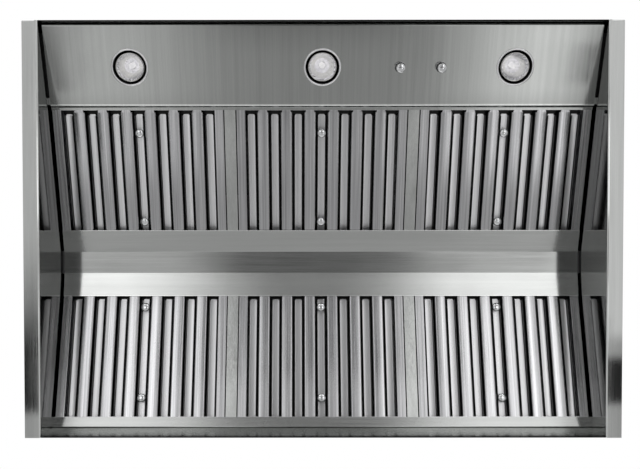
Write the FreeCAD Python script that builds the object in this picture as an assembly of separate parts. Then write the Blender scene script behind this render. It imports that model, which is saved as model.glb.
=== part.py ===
"""Range hood insert, 48 inches wide, seen and used from below.

A folded sheet-steel liner carries a sloped control panel, two banks of baffle filters on
either side of a raised ridge, and a blower box with a round duct collar on top.

Axes: +X right, +Y towards the wall, +Z up. The origin is the middle of the bottom rim.
Lengths are millimetres and angles are degrees.
"""
import FreeCAD, Part
import math
import os

Vector = FreeCAD.Vector
Rotation = FreeCAD.Rotation
Placement = FreeCAD.Placement
X_AXIS = Vector(1, 0, 0)
Y_AXIS = Vector(0, 1, 0)
Z_AXIS = Vector(0, 0, 1)
ORIGIN = Vector(0, 0, 0)
SIDE_NAMES = ("left", "middle", "right")

# --- sheet metal and fits ---------------------------------------------------------------
SHEET = 1.2            # stainless sheet of the liner
FILTER_SHEET = 1.0     # sheet of the filter frames and baffles
BEND = 1.0             # inside radius of an ordinary bend
RIM_BEND = 2.2         # inside radius of the side walls' bends
PANEL_BEND = 2.5       # inside radius of the control panel's bends
HEM_BEND = 0.2         # inside radius of a flattened hem
SEAM = 0.1             # gap between fixed sheets that lie on each other
SEAT_GAP = 0.3         # gap under a piece that rests on another
RUNNING_FIT = 0.05     # radial clearance of a shaft in its bore

# --- liner ------------------------------------------------------------------------------
OVERALL_WIDTH = 1219.0
OVERALL_DEPTH = 850.0
LINER_HEIGHT = 215.0
SIDE_FLANGE = 32.5     # bottom flange of each side wall, turned outwards
FLANGE_LIP = 6.0       # its front end, turned up
TOP_FLANGE = 16.0      # inward flange at the top of every wall
HEM_HEIGHT = 10.0

# --- control panel ----------------------------------------------------------------------
PANEL_SETBACK = 4.4    # front edge of the panel behind the outside of the front wall
PANEL_FRONT_Z = 12.7
PANEL_RUN = 159.9      # level distance from its front edge to its rear edge
PANEL_RISE = 53.8
PANEL_RETURN = 24.0    # upturned flange along its front edge
PANEL_END_GAP = 4.0    # between its ends and the side walls
JOGGLE_RUN = 3.0       # steep step between the panel and the ledge behind it
END_BRACKET_LEG = 22.0
END_BRACKET_INSET = 20.0

# --- filters ----------------------------------------------------------------------------
FILTERS_PER_BANK = 3
BANK_END_GAP = 4.5     # between the outer filters and the side walls
FILTER_THICKNESS = 30.0
FILTER_TILT = 15.0
FILTER_TRAVEL = 18.0   # pushed this far towards the ridge, a filter drops off its ledge
FILTER_OVERLAP = 12.0  # length of its low end that lies beyond the visible edge of the ledge
SLOTS_PER_FILTER = 7
SIDE_RAIL = 18.2       # width of the frame beside the outermost slots
HEAD_RAIL = 16.5       # width of the frame across the ends of the slots, at the filter's head
TAIL_RAIL = 12.5       # and at its tail
BAFFLE_TUCK = 8.0      # length of a baffle's face under each end rail
BAFFLE_CHAMFER = 5.0   # corners of a front baffle at the filter's head
FRONT_BAFFLE_LEG = 24.0
FRONT_BAFFLE_LIP = 5.0
REAR_BAFFLE_GAP = 3.4  # between a rear baffle and each side of its slot
REAR_BAFFLE_LEG = 11.0
REAR_BAFFLE_DEPTH = 17.5   # its face behind the front of the filter
SHOULDERS = {"front": 29.6, "rear": 49.5}   # from the head to where a rear baffle narrows
SHOULDER_TAB = 9.0         # width of a rear baffle between its shoulder and the head
DIVIDER_WIDTH = 23.6
DIVIDER_HEIGHT = 22.0
DIVIDER_GAP = 2.2
HANDLE_RADIUS = 9.5
HANDLE_HEIGHT = 7.0
HANDLE_RIM = 2.1       # height of the straight edge of its head
HANDLE_CROWN = 5.7     # radius of the flat middle of its domed face
HANDLE_RECESS = 0.4    # its crown behind the filter's face, so that it passes the ridge
HANDLE_STEM_RADIUS = 3.5
HANDLE_HEAD_INSET = 66.6   # centre of the first knob from the filter's head
HANDLE_TAIL_INSET = 51.7   # centre of the second knob from its tail

# --- ledges, ridge and troughs ----------------------------------------------------------
LEDGE_SETBACK = 4.1        # front edge of the front bank behind the panel's rear edge
FRONT_LEDGE_Z = 73.7
FRONT_LEDGE_WIDTH = 4.0
REAR_TROUGH_WIDTH = 21.4   # from the rear edge of the rear bank to the outside of the wall
REAR_LEDGE_Z = 81.8
RIDGE_FRONT_WING = 48.3
RIDGE_FLAT = 47.1
RIDGE_REAR_WING = 51.2
RIDGE_FRONT_OVERLAP = 32.7 # level distance that a filter's high end lies on its wing
RIDGE_REAR_OVERLAP = 40.9
RIDGE_END_GAP = 4.0
RIDGE_BEAM_HEIGHT = 34.0
TROUGH_WALL = 36.0
REAR_TROUGH_DROP = 8.5
REAR_TROUGH_WALL = 24.0

# --- lamps ------------------------------------------------------------------------------
LAMP_INSET = 177.0         # middle of an outer lamp from its side wall
FITTING_RUN = 83.9         # level distance from the panel's front edge to lamps and knobs
TRIM_RADIUS = 39.0
TRIM_LIP = 2.0
CAN_RADIUS = 35.6
CAN_WALL = 0.8
CAN_DEPTH = 74.0
CAN_FIT = 0.6
BULB_RADIUS = 30.0
BULB_RECESS = 1.5
BULB_RIM = 6.0
BULB_NECK_RADIUS = 13.0
BULB_DEPTH = 52.0
BULB_BASE_RADIUS = 11.0
SOCKET_RADIUS = 15.0
SOCKET_HEIGHT = 16.0

# --- controls ---------------------------------------------------------------------------
KNOB_SPACING = 85.0
KNOB_TO_LAMP = 154.0
KNOB_RADIUS = 11.0
KNOB_HEIGHT = 17.0
KNOB_GAP = 0.8
KNOB_EDGE = 1.6        # rounding of its outer edge
KNOB_BORE_DEPTH = 12.0
POINTER_WIDTH = 1.6    # groove from the middle of its face to its edge
POINTER_DEPTH = 0.8
CONTROL_SHAFT_RADIUS = 3.0
CONTROL_BUSHING_RADIUS = 5.0
CONTROL_BUSHING_LENGTH = 9.0
CONTROL_BODY = 36.0
CONTROL_BODY_DEPTH = 24.0
CONTROL_HOLE_FIT = 0.3

# --- blower box and collar --------------------------------------------------------------
BOX_WIDTH = 760.0
BOX_DEPTH = 330.0
BOX_HEIGHT = 260.0
BOX_FLANGE = 20.0
BOX_OPENING_MARGIN = 14.0
BOX_SCREW_COUNT_X = 5
BOX_SCREW_COUNT_Y = 3
SCREW_HEAD_RADIUS = 4.0
SCREW_HEAD = 2.5
SCREW_RADIUS = 2.0
SCREW_LENGTH = 7.0
COLLAR_RADIUS = 125.0
COLLAR_HEIGHT = 50.0
COLLAR_FLANGE = 18.0
DAMPER_HEIGHT = 14.0       # hinge line above the lid
DAMPER_ROD_RADIUS = 2.5
DAMPER_BARREL_WALL = 1.4
DAMPER_BARREL_LENGTH = 40.0
DAMPER_EDGE_GAP = 3.0
DAMPER_STOP = 10.0

# --- blower -----------------------------------------------------------------------------
WHEEL_RADIUS = 78.0
WHEEL_WIDTH = 156.0
WHEEL_BLADES = 24
BLADE_DEPTH = 15.0
BLADE_THICKNESS = 1.2
BLADE_ANGLE = 25.0
WHEEL_HUB_RADIUS = 16.0
WHEEL_HUB_LENGTH = 34.0
WHEEL_PLATE = 2.0
SCROLL_WIDTH = 190.0
SCROLL_OUTLET = 150.0
SCROLL_FIRST_RADIUS = 90.0
SCROLL_GROWTH = 11.0
SCROLL_AXIS_Z = 340.0
SCROLL_FLANGE = 12.0
INLET_RADIUS = 62.0
INLET_ROLL = 5.0
INLET_RING_WIDTH = 15.0
SHAFT_RADIUS = 6.35
SHAFT_PAST_HUB = 6.0
MOTOR_RADIUS = 50.0
MOTOR_LENGTH = 96.0
MOTOR_GAP = 26.0           # between the scroll's side and the motor
MOTOR_BOSS_RADIUS = 14.0
MOTOR_BOSS_LENGTH = 8.0
MOTOR_BAND = 18.0
MOTOR_ARMS = 3
MOTOR_ARM_WIDTH = 14.0
MOTOR_ARM_REACH = 82.0

# --- hanging brackets and wiring --------------------------------------------------------
HANGER_SHEET = 3.0
HANGER_WIDTH = 50.0
HANGER_FOOT = 40.0
HANGER_RISE = 35.0
HANGER_TAB = 32.0
HANGER_HOLE_RADIUS = 5.5
HANGER_INSET_X = 57.0
HANGER_INSET_Y = 55.0
JUNCTION_INSET_X = 107.0
JUNCTION_INSET_Y = 245.0
JUNCTION_SIDE = 110.0
JUNCTION_HEIGHT = 48.0
SUPPLY_HOLE_RADIUS = 11.0
SUPPLY_RIM = 3.0
SUPPLY_FLANGE = 2.0

# --- worked out from the above ----------------------------------------------------------
HALF_WIDTH = OVERALL_WIDTH / 2 - SIDE_FLANGE          # inside face of a side wall
FRONT_Y = -OVERALL_DEPTH / 2
REAR_Y = OVERALL_DEPTH / 2
WALL_TOP = LINER_HEIGHT - SHEET - SEAM
HEM_THICKNESS = 2 * (SHEET + HEM_BEND)
PANEL_ANGLE = math.degrees(math.atan2(PANEL_RISE, PANEL_RUN))
PANEL_FRONT_Y = FRONT_Y + PANEL_SETBACK
PANEL_REAR_Y = PANEL_FRONT_Y + PANEL_RUN
PANEL_REAR_Z = PANEL_FRONT_Z + PANEL_RISE
PANEL_HALF = HALF_WIDTH - PANEL_END_GAP
TILT_COS = math.cos(math.radians(FILTER_TILT))
TILT_TAN = math.tan(math.radians(FILTER_TILT))
FRONT_LEDGE_Y = PANEL_REAR_Y + LEDGE_SETBACK
REAR_LEDGE_Y = REAR_Y - REAR_TROUGH_WIDTH
RIDGE_WIDTH = RIDGE_FRONT_WING + RIDGE_FLAT + RIDGE_REAR_WING
RIDGE_OVERLAP = RIDGE_FRONT_OVERLAP + RIDGE_REAR_OVERLAP
FILTER_REACH = (REAR_LEDGE_Y - FRONT_LEDGE_Y - RIDGE_WIDTH + RIDGE_OVERLAP) / 2
FILTER_LENGTH = FILTER_REACH / TILT_COS + FILTER_OVERLAP
RIDGE_FRONT_Y = FRONT_LEDGE_Y + FILTER_REACH - RIDGE_FRONT_OVERLAP
RIDGE_FLAT_FRONT_Y = RIDGE_FRONT_Y + RIDGE_FRONT_WING
RIDGE_FLAT_REAR_Y = RIDGE_FLAT_FRONT_Y + RIDGE_FLAT
RIDGE_REAR_Y = RIDGE_FLAT_REAR_Y + RIDGE_REAR_WING
LEDGE_DROP = (SEAT_GAP + SHEET) / TILT_COS            # ledge underside below a filter's face
FILTER_PITCH = (2 * (HALF_WIDTH - BANK_END_GAP) + DIVIDER_WIDTH + 2 * DIVIDER_GAP) / FILTERS_PER_BANK
FILTER_WIDTH = FILTER_PITCH - DIVIDER_WIDTH - 2 * DIVIDER_GAP
SLOT_WIDTH = (FILTER_WIDTH - 2 * SIDE_RAIL) / (2 * SLOTS_PER_FILTER - 1)
REAR_BAFFLE_WIDTH = SLOT_WIDTH - 2 * REAR_BAFFLE_GAP
OUTER_LAMP_X = HALF_WIDTH - LAMP_INSET
LAMP_X = (-OUTER_LAMP_X, 0.0, OUTER_LAMP_X)
LIGHT_KNOB_X = OUTER_LAMP_X - KNOB_TO_LAMP
FAN_KNOB_X = LIGHT_KNOB_X - KNOB_SPACING
BOX_CENTRE_Y = (RIDGE_FLAT_FRONT_Y + RIDGE_FLAT_REAR_Y) / 2
JUNCTION_X = HALF_WIDTH - JUNCTION_INSET_X
JUNCTION_Y = FRONT_Y + JUNCTION_INSET_Y
FILTER_STOP = FILTER_LENGTH - FILTER_OVERLAP + FILTER_TRAVEL + SEAT_GAP
BEAM_FRONT_Y = FRONT_LEDGE_Y + FILTER_STOP * TILT_COS
BEAM_REAR_Y = REAR_LEDGE_Y - FILTER_STOP * TILT_COS
BOX_TOP = LINER_HEIGHT + BOX_HEIGHT
LID_TOP = BOX_TOP + SEAM + SHEET
DAMPER_Z = LID_TOP + DAMPER_HEIGHT
SCROLL_AXIS_Y = BOX_CENTRE_Y + SCROLL_OUTLET / 2 - SCROLL_FIRST_RADIUS - 2 * SCROLL_GROWTH
FITTING_ALONG = FITTING_RUN / math.cos(math.radians(PANEL_ANGLE))


# --- helpers ----------------------------------------------------------------------------
def box(x0, x1, y0, y1, z0, z1):
    """A block between two corners."""
    return Part.makeBox(x1 - x0, y1 - y0, z1 - z0, Vector(x0, y0, z0))


def cylinder(radius, length, base, axis):
    return Part.makeCylinder(radius, length, base, axis)


def tube(outer, inner, length, base, axis):
    return cylinder(outer, length, base, axis).cut(cylinder(inner, length, base, axis))


def placed(shape, placement):
    """A copy of a shape, moved from its own frame to the hood's."""
    moved = shape.copy()
    moved.Placement = placement.multiply(moved.Placement)
    return moved


def rounded_edges(points, radii):
    """Edges of an open polyline whose inner corners are arcs of the given radii."""
    edges = []
    start = points[0]
    for before, corner, after, radius in zip(points, points[1:], points[2:], radii):
        inward = (before - corner).normalize()
        outward = (after - corner).normalize()
        half = inward.getAngle(outward) / 2
        reach = radius / math.tan(half)
        first = corner + inward * reach
        last = corner + outward * reach
        centre = corner + (inward + outward).normalize() * (radius / math.sin(half))
        middle = centre + (corner - centre).normalize() * radius
        if (first - start).Length > 1e-6:
            edges.append(Part.makeLine(start, first))
        edges.append(Part.Arc(first, middle, last).toShape())
        start = last
    edges.append(Part.makeLine(start, points[-1]))
    return edges


def offset_polyline(points, distance):
    """The polyline (y, z) moved sideways to its left, with its corners mitred."""
    normals = []
    for (y0, z0), (y1, z1) in zip(points, points[1:]):
        length = math.hypot(y1 - y0, z1 - z0)
        normals.append(((z0 - z1) / length, (y1 - y0) / length))
    moved = []
    for index, (y, z) in enumerate(points):
        ny0, nz0 = normals[max(index - 1, 0)]
        ny1, nz1 = normals[min(index, len(normals) - 1)]
        scale = distance / (1 + ny0 * ny1 + nz0 * nz1)
        moved.append((y + (ny0 + ny1) * scale, z + (nz0 + nz1) * scale))
    return moved


def bent_sheet(points, thickness, x0, x1, bend=BEND):
    """Folded sheet: a (y, z) profile of its outer face, thickened to its left, run along X."""
    inner = offset_polyline(points, thickness)
    outer_radii = []
    inner_radii = []
    for (y0, z0), (y1, z1), (y2, z2) in zip(points, points[1:], points[2:]):
        turns_left = (y1 - y0) * (z2 - z1) - (z1 - z0) * (y2 - y1) > 0
        outer_radii.append(bend + thickness if turns_left else bend)
        inner_radii.append(bend if turns_left else bend + thickness)
    outer_path = [Vector(x0, y, z) for y, z in points]
    inner_path = [Vector(x0, y, z) for y, z in inner]
    edges = rounded_edges(outer_path, outer_radii)
    edges.append(Part.makeLine(outer_path[-1], inner_path[-1]))
    edges += rounded_edges(inner_path[::-1], inner_radii[::-1])
    edges.append(Part.makeLine(inner_path[0], outer_path[0]))
    face = Part.Face(Part.Wire(Part.__sortEdges__(edges)))
    return face.extrude(X_AXIS * (x1 - x0))


def revolved(points, placement):
    """A solid of revolution about the local Z axis from (radius, height) points."""
    path = [Vector(radius, 0, height) for radius, height in points]
    face = Part.Face(Part.makePolygon(path + [path[0]]))
    return placed(face.revolve(ORIGIN, Z_AXIS, 360), placement)


def save(name, solids):
    """Write one node; a list of solids becomes one group of separate solids."""
    shape = Part.makeCompound(solids) if isinstance(solids, list) else solids
    shape.exportStep("parts/" + name + ".step")


# --- frames of the sloped pieces --------------------------------------------------------
def panel_frame(x, along=0.0):
    """Local Y runs up the control panel's underside and local Z points up out of its back."""
    slope = Placement(Vector(x, PANEL_FRONT_Y, PANEL_FRONT_Z), Rotation(X_AXIS, PANEL_ANGLE))
    return slope.multiply(Placement(Vector(0, along, 0), Rotation()))


def bank_frame(bank, x):
    """Local Y climbs along the filters' faces to the ridge, from the ledge's visible edge."""
    tilt = Rotation(X_AXIS, FILTER_TILT)
    if bank == "front":
        return Placement(Vector(x, FRONT_LEDGE_Y, FRONT_LEDGE_Z), tilt)
    return Placement(Vector(x, REAR_LEDGE_Y, REAR_LEDGE_Z), Rotation(Z_AXIS, 180).multiply(tilt))


def filter_place(bank, x):
    """Frame of one filter, whose head faces the front of the hood in both banks."""
    place = bank_frame(bank, x)
    if bank == "front":
        return place
    turned = Placement(Vector(0, FILTER_LENGTH - 2 * FILTER_OVERLAP, 0), Rotation(Z_AXIS, 180))
    return place.multiply(turned)


def front_filter_z(y):
    return FRONT_LEDGE_Z + (y - FRONT_LEDGE_Y) * TILT_TAN


def rear_filter_z(y):
    return REAR_LEDGE_Z + (REAR_LEDGE_Y - y) * TILT_TAN


# --- liner ------------------------------------------------------------------------------
def side_wall():
    """The wall on the +X side: flange outwards at the bottom and inwards at the top.

    The bottom flange ends in a lip at the front; its flat part stops short of the wall's bend.
    """
    profile = [
        (-HALF_WIDTH + TOP_FLANGE, WALL_TOP),
        (-HALF_WIDTH - SHEET, WALL_TOP),
        (-HALF_WIDTH - SHEET, SHEET),
        (-OVERALL_WIDTH / 2, SHEET),
    ]
    sheet = bent_sheet(profile, SHEET, FRONT_Y, REAR_Y, RIM_BEND)
    sheet = placed(sheet, Placement(ORIGIN, Rotation(Z_AXIS, 90)))
    corner_x = HALF_WIDTH - TOP_FLANGE - SHEET
    corner_z = WALL_TOP - TOP_FLANGE
    for y0, y1 in ((FRONT_Y, FRONT_Y + TOP_FLANGE + SEAM), (REAR_Y - TOP_FLANGE - SEAM, REAR_Y)):
        sheet = sheet.cut(box(corner_x, HALF_WIDTH, y0, y1, corner_z, LINER_HEIGHT))
    lip_x = HALF_WIDTH + 2 * (SHEET + RIM_BEND)
    lip_rear = FRONT_Y + FLANGE_LIP
    outer_x = OVERALL_WIDTH / 2
    lip_profile = [(FRONT_Y, FLANGE_LIP), (FRONT_Y, 0), (lip_rear, 0)]
    sheet = sheet.cut(box(lip_x, outer_x + SHEET, FRONT_Y - SHEET, lip_rear, -SHEET, 2 * SHEET))
    sheet = sheet.fuse(bent_sheet(lip_profile, SHEET, lip_x, outer_x, RIM_BEND))
    return sheet.removeSplitter()


def mirrored(shape):
    return shape.mirror(ORIGIN, X_AXIS)


def front_wall():
    profile = [
        (FRONT_Y + TOP_FLANGE, WALL_TOP),
        (FRONT_Y, WALL_TOP),
        (FRONT_Y, 0),
        (FRONT_Y + HEM_THICKNESS, 0),
        (FRONT_Y + HEM_THICKNESS, HEM_HEIGHT),
    ]
    return bent_sheet(profile, SHEET, -HALF_WIDTH + SEAM, HALF_WIDTH - SEAM, HEM_BEND)


def rear_wall():
    return placed(front_wall(), Placement(ORIGIN, Rotation(Z_AXIS, 180)))


def top_panel():
    below = LINER_HEIGHT - 2 * SHEET
    half = HALF_WIDTH + SHEET
    sheet = box(-half, half, FRONT_Y, REAR_Y, LINER_HEIGHT - SHEET, LINER_HEIGHT)
    sheet = sheet.cut(box_around(-BOX_OPENING_MARGIN, below, LINER_HEIGHT + SHEET))
    for x, y in box_screw_places():
        sheet = sheet.cut(cylinder(SCREW_RADIUS + SEAM, 4 * SHEET, Vector(x, y, below), Z_AXIS))
    wiring = Vector(JUNCTION_X, JUNCTION_Y, below)
    return sheet.cut(cylinder(SUPPLY_HOLE_RADIUS, 4 * SHEET, wiring, Z_AXIS))


def control_panel():
    """Sloped fascia: upturned front edge, steep joggle and filter ledge at the rear."""
    ledge_front = PANEL_REAR_Y + JOGGLE_RUN
    ledge_rear = FRONT_LEDGE_Y + FRONT_LEDGE_WIDTH
    profile = [
        (PANEL_FRONT_Y, PANEL_FRONT_Z + PANEL_RETURN),
        (PANEL_FRONT_Y, PANEL_FRONT_Z),
        (PANEL_REAR_Y, PANEL_REAR_Z),
        (ledge_front, front_filter_z(ledge_front) - LEDGE_DROP),
        (ledge_rear, front_filter_z(ledge_rear) - LEDGE_DROP),
    ]
    panel = bent_sheet(profile, SHEET, -PANEL_HALF, PANEL_HALF, PANEL_BEND)
    for x in LAMP_X:
        panel = panel.cut(placed(cylinder(CAN_RADIUS + CAN_FIT, 4 * SHEET, ORIGIN, Z_AXIS), panel_hole(x)))
    for x in (FAN_KNOB_X, LIGHT_KNOB_X):
        radius = CONTROL_BUSHING_RADIUS + CONTROL_HOLE_FIT
        panel = panel.cut(placed(cylinder(radius, 4 * SHEET, ORIGIN, Z_AXIS), panel_hole(x)))
    return panel


def panel_hole(x):
    """Start of a hole through the panel, just below its underside."""
    return panel_frame(x, FITTING_ALONG).multiply(Placement(Vector(0, 0, -SHEET), Rotation()))


def panel_end_bracket(side):
    """Angle between the back of the panel and a side wall."""
    length = PANEL_RUN / math.cos(math.radians(PANEL_ANGLE)) - 2 * END_BRACKET_INSET
    wall = HALF_WIDTH - SEAM
    low = SHEET + SEAM
    foot = box(wall - END_BRACKET_LEG, wall, 0, length, low, low + SHEET)
    leg = box(wall - SHEET, wall, 0, length, low, low + END_BRACKET_LEG)
    bracket = placed(foot.fuse(leg), panel_frame(0, END_BRACKET_INSET))
    return bracket if side > 0 else mirrored(bracket)


def front_grease_trough():
    """Shallow gutter on the back of the panel, below the low ends of the front filters."""
    slope = PANEL_RISE / PANEL_RUN
    lift = (SHEET + SEAM) / math.cos(math.radians(PANEL_ANGLE))
    filter_end = FRONT_LEDGE_Y - FILTER_OVERLAP * TILT_COS - FILTER_THICKNESS * TILT_TAN * TILT_COS
    wall_y = filter_end - SEAT_GAP - SHEET
    rear_y = PANEL_REAR_Y - PANEL_BEND
    floor_z = PANEL_REAR_Z + lift
    profile = [
        (wall_y, floor_z + TROUGH_WALL),
        (wall_y, floor_z - (PANEL_REAR_Y - wall_y) * slope),
        (rear_y, floor_z - (PANEL_REAR_Y - rear_y) * slope),
    ]
    return bent_sheet(profile, SHEET, -HALF_WIDTH + SEAM, HALF_WIDTH - SEAM, HEM_BEND)


def rear_grease_trough():
    """Gutter along the rear wall; its front edge is the ledge of the rear filters."""
    edge_z = rear_filter_z(REAR_LEDGE_Y) - LEDGE_DROP
    wall_y = REAR_Y - SHEET - SEAM
    profile = [
        (REAR_LEDGE_Y, edge_z),
        (wall_y, edge_z - REAR_TROUGH_DROP),
        (wall_y, edge_z + REAR_TROUGH_WALL - REAR_TROUGH_DROP),
    ]
    return bent_sheet(profile, SHEET, -HALF_WIDTH + SEAM, HALF_WIDTH - SEAM, HEM_BEND)


def center_ridge():
    """Raised spine between the banks; its two wings carry the high ends of the filters."""
    front_z = front_filter_z(RIDGE_FRONT_Y) - LEDGE_DROP
    profile = [
        (RIDGE_FRONT_Y, front_z),
        (RIDGE_FLAT_FRONT_Y, ridge_flat_z()),
        (RIDGE_FLAT_REAR_Y, ridge_flat_z()),
        (RIDGE_REAR_Y, rear_filter_z(RIDGE_REAR_Y) - LEDGE_DROP),
    ]
    half = HALF_WIDTH - RIDGE_END_GAP
    return bent_sheet(profile, SHEET, -half, half)


def ridge_flat_z():
    return front_filter_z(RIDGE_FLAT_FRONT_Y) - LEDGE_DROP


def ridge_beam():
    """Box beam on the ridge from wall to wall; its sides stop the sliding filters."""
    low = ridge_flat_z() + SHEET + SEAM
    high = low + RIDGE_BEAM_HEIGHT
    half = HALF_WIDTH - SEAM
    outside = box(-half, half, BEAM_FRONT_Y, BEAM_REAR_Y, low, high)
    inside = box(-half, half, BEAM_FRONT_Y + SHEET, BEAM_REAR_Y - SHEET, low + SHEET, high - SHEET)
    return outside.cut(inside)


def filter_divider(bank, x):
    """Channel between two neighbouring filters, from the ledge to the ridge beam."""
    half = DIVIDER_WIDTH / 2
    start = -FILTER_OVERLAP
    end = FILTER_STOP - SEAT_GAP
    outside = box(-half, half, start, end, 0, DIVIDER_HEIGHT)
    inside = box(-half + SHEET, half - SHEET, start, end, SHEET, DIVIDER_HEIGHT)
    return placed(outside.cut(inside), bank_frame(bank, x))


# --- filters ----------------------------------------------------------------------------
def filter_centres():
    middle = (FILTERS_PER_BANK - 1) / 2
    return [(index - middle) * FILTER_PITCH for index in range(FILTERS_PER_BANK)]


def slot_centres():
    middle = (SLOTS_PER_FILTER - 1) / 2
    return [(index - middle) * 2 * SLOT_WIDTH for index in range(SLOTS_PER_FILTER)]


def filter_frame():
    """Channel frame of one filter, its face on local Z = 0 and its head at -overlap."""
    half = FILTER_WIDTH / 2
    low = -FILTER_OVERLAP
    high = low + FILTER_LENGTH
    wall = FILTER_SHEET
    block = box(-half, half, low, high, 0, FILTER_THICKNESS)
    hollow = box(-half + wall, half - wall, low + wall, high - wall, wall, FILTER_THICKNESS - wall)
    inner = half - SIDE_RAIL
    mouth = box(-inner, inner, low + HEAD_RAIL, high - TAIL_RAIL, -wall, FILTER_THICKNESS + wall)
    return block.cut(hollow).cut(mouth)


def front_baffle(x):
    """Channel that shows as a land; its legs end in lips that reach behind the slots."""
    half = SLOT_WIDTH / 2
    wall = FILTER_SHEET
    low = -FILTER_OVERLAP + HEAD_RAIL
    high = -FILTER_OVERLAP + FILTER_LENGTH - TAIL_RAIL
    face_z = wall + SEAM
    tab = half - BAFFLE_CHAMFER
    corner = BAFFLE_CHAMFER
    outline = [
        (-tab, low - BAFFLE_TUCK),
        (tab, low - BAFFLE_TUCK),
        (tab, low),
        (half, low + corner),
        (half, high + BAFFLE_TUCK),
        (-half, high + BAFFLE_TUCK),
        (-half, low + corner),
        (-tab, low),
    ]
    points = [Vector(x + px, py, face_z) for px, py in outline]
    baffle = Part.Face(Part.makePolygon(points + [points[0]])).extrude(Z_AXIS * wall)
    top = face_z + FRONT_BAFFLE_LEG
    for side in (-1, 1):
        edges = sorted((x + side * half, x + side * (half - wall)))
        leg = box(edges[0], edges[1], low + corner, high, face_z, top)
        reach = sorted((x + side * (half - wall), x + side * (half + FRONT_BAFFLE_LIP)))
        lip = box(reach[0], reach[1], low + corner, high, top - wall, top)
        baffle = baffle.fuse(leg).fuse(lip)
    return baffle.removeSplitter()


def rear_baffle(x, bank):
    """Channel open towards the cook, set back inside one slot and narrower near the head."""
    half = REAR_BAFFLE_WIDTH / 2
    wall = FILTER_SHEET
    low = -FILTER_OVERLAP + wall + SEAM
    high = -FILTER_OVERLAP + FILTER_LENGTH - wall - SEAM
    back = REAR_BAFFLE_DEPTH
    block = box(x - half, x + half, low, high, back - REAR_BAFFLE_LEG, back + wall)
    block = block.cut(box(x - half + wall, x + half - wall, low, high, back - REAR_BAFFLE_LEG, back))
    shoulder = -FILTER_OVERLAP + SHOULDERS[bank]
    for side in (-1, 1):
        outer, inner = x + side * half, x + side * SHOULDER_TAB / 2
        left, right = sorted((outer, inner))
        block = block.cut(box(left, right, low, shoulder, back - REAR_BAFFLE_LEG, back + wall))
    return block


def filter_baffles(bank):
    """Separate channels of one filter: lands in front, slot channels behind."""
    slots = slot_centres()
    lands = [(left + right) / 2 for left, right in zip(slots, slots[1:])]
    return [front_baffle(x) for x in lands] + [rear_baffle(x, bank) for x in slots]


def filter_handles():
    """Two domed knobs on stems in the middle slot."""
    x = slot_centres()[SLOTS_PER_FILTER // 2]
    back = REAR_BAFFLE_DEPTH - SEAM
    front = HANDLE_RECESS
    knobs = []
    for along in (HANDLE_HEAD_INSET - FILTER_OVERLAP, FILTER_LENGTH - HANDLE_TAIL_INSET - FILTER_OVERLAP):
        profile = [
            (0, back),
            (HANDLE_STEM_RADIUS, back),
            (HANDLE_STEM_RADIUS, front + HANDLE_HEIGHT),
            (HANDLE_RADIUS, front + HANDLE_HEIGHT - HANDLE_RIM),
            (HANDLE_RADIUS, front + HANDLE_HEIGHT - 2 * HANDLE_RIM),
            (HANDLE_CROWN, front),
            (0, front),
        ]
        knobs.append(revolved(profile, Placement(Vector(x, along, 0), Rotation())))
    return knobs


# --- lamps ------------------------------------------------------------------------------
def lamp_trim(x):
    """Bezel below the panel and the can above it, open at the bottom."""
    outer = CAN_RADIUS
    inner = CAN_RADIUS - CAN_WALL
    profile = [
        (inner, -TRIM_LIP),
        (TRIM_RADIUS - TRIM_LIP, -TRIM_LIP),
        (TRIM_RADIUS, -SEAM),
        (outer, -SEAM),
        (outer, CAN_DEPTH),
        (BULB_BASE_RADIUS + CAN_FIT, CAN_DEPTH),
        (BULB_BASE_RADIUS + CAN_FIT, CAN_DEPTH - CAN_WALL),
        (inner, CAN_DEPTH - CAN_WALL),
    ]
    return revolved(profile, panel_frame(x, FITTING_ALONG))


def lamp_bulb(x):
    """Reflector lamp, its lens just inside the bezel."""
    face = BULB_RECESS
    profile = [
        (0, face),
        (BULB_RADIUS, face),
        (BULB_RADIUS, face + BULB_RIM),
        (BULB_NECK_RADIUS, face + BULB_DEPTH),
        (BULB_BASE_RADIUS, face + BULB_DEPTH),
        (BULB_BASE_RADIUS, socket_face() - SEAM),
        (0, socket_face() - SEAM),
    ]
    return revolved(profile, panel_frame(x, FITTING_ALONG))


def socket_face():
    return CAN_DEPTH + SEAM


def lamp_socket(x):
    """Ceramic lamp holder on top of the can."""
    block = cylinder(SOCKET_RADIUS, SOCKET_HEIGHT, Vector(0, 0, socket_face()), Z_AXIS)
    return placed(block, panel_frame(x, FITTING_ALONG))


# --- controls ---------------------------------------------------------------------------
def knob_bottom():
    """Height of a knob's inner face, below the panel."""
    return -KNOB_GAP


def control_knob(x):
    """Turned knob with a blind bore for its shaft and a pointer groove across half its face."""
    inner = knob_bottom()
    outer = inner - KNOB_HEIGHT
    bore = CONTROL_SHAFT_RADIUS + RUNNING_FIT
    profile = [
        (bore, inner),
        (KNOB_RADIUS, inner),
        (KNOB_RADIUS, outer + KNOB_EDGE),
        (KNOB_RADIUS - KNOB_EDGE, outer),
        (0, outer),
        (0, inner - KNOB_BORE_DEPTH),
        (bore, inner - KNOB_BORE_DEPTH),
    ]
    place = panel_frame(x, FITTING_ALONG)
    half = POINTER_WIDTH / 2
    pointer = box(-half, half, -KNOB_RADIUS - SHEET, 0, outer - SHEET, outer + POINTER_DEPTH)
    return revolved(profile, place).cut(placed(pointer, place))


def control_shaft(x):
    """Turning shaft of one control, from its body into the knob."""
    low = knob_bottom() - KNOB_BORE_DEPTH + SEAM
    high = control_back() + CONTROL_BODY_DEPTH / 2
    shaft = cylinder(CONTROL_SHAFT_RADIUS, high - low, Vector(0, 0, low), Z_AXIS)
    return placed(shaft, panel_frame(x, FITTING_ALONG))


def control_back():
    return SHEET + SEAM


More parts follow.
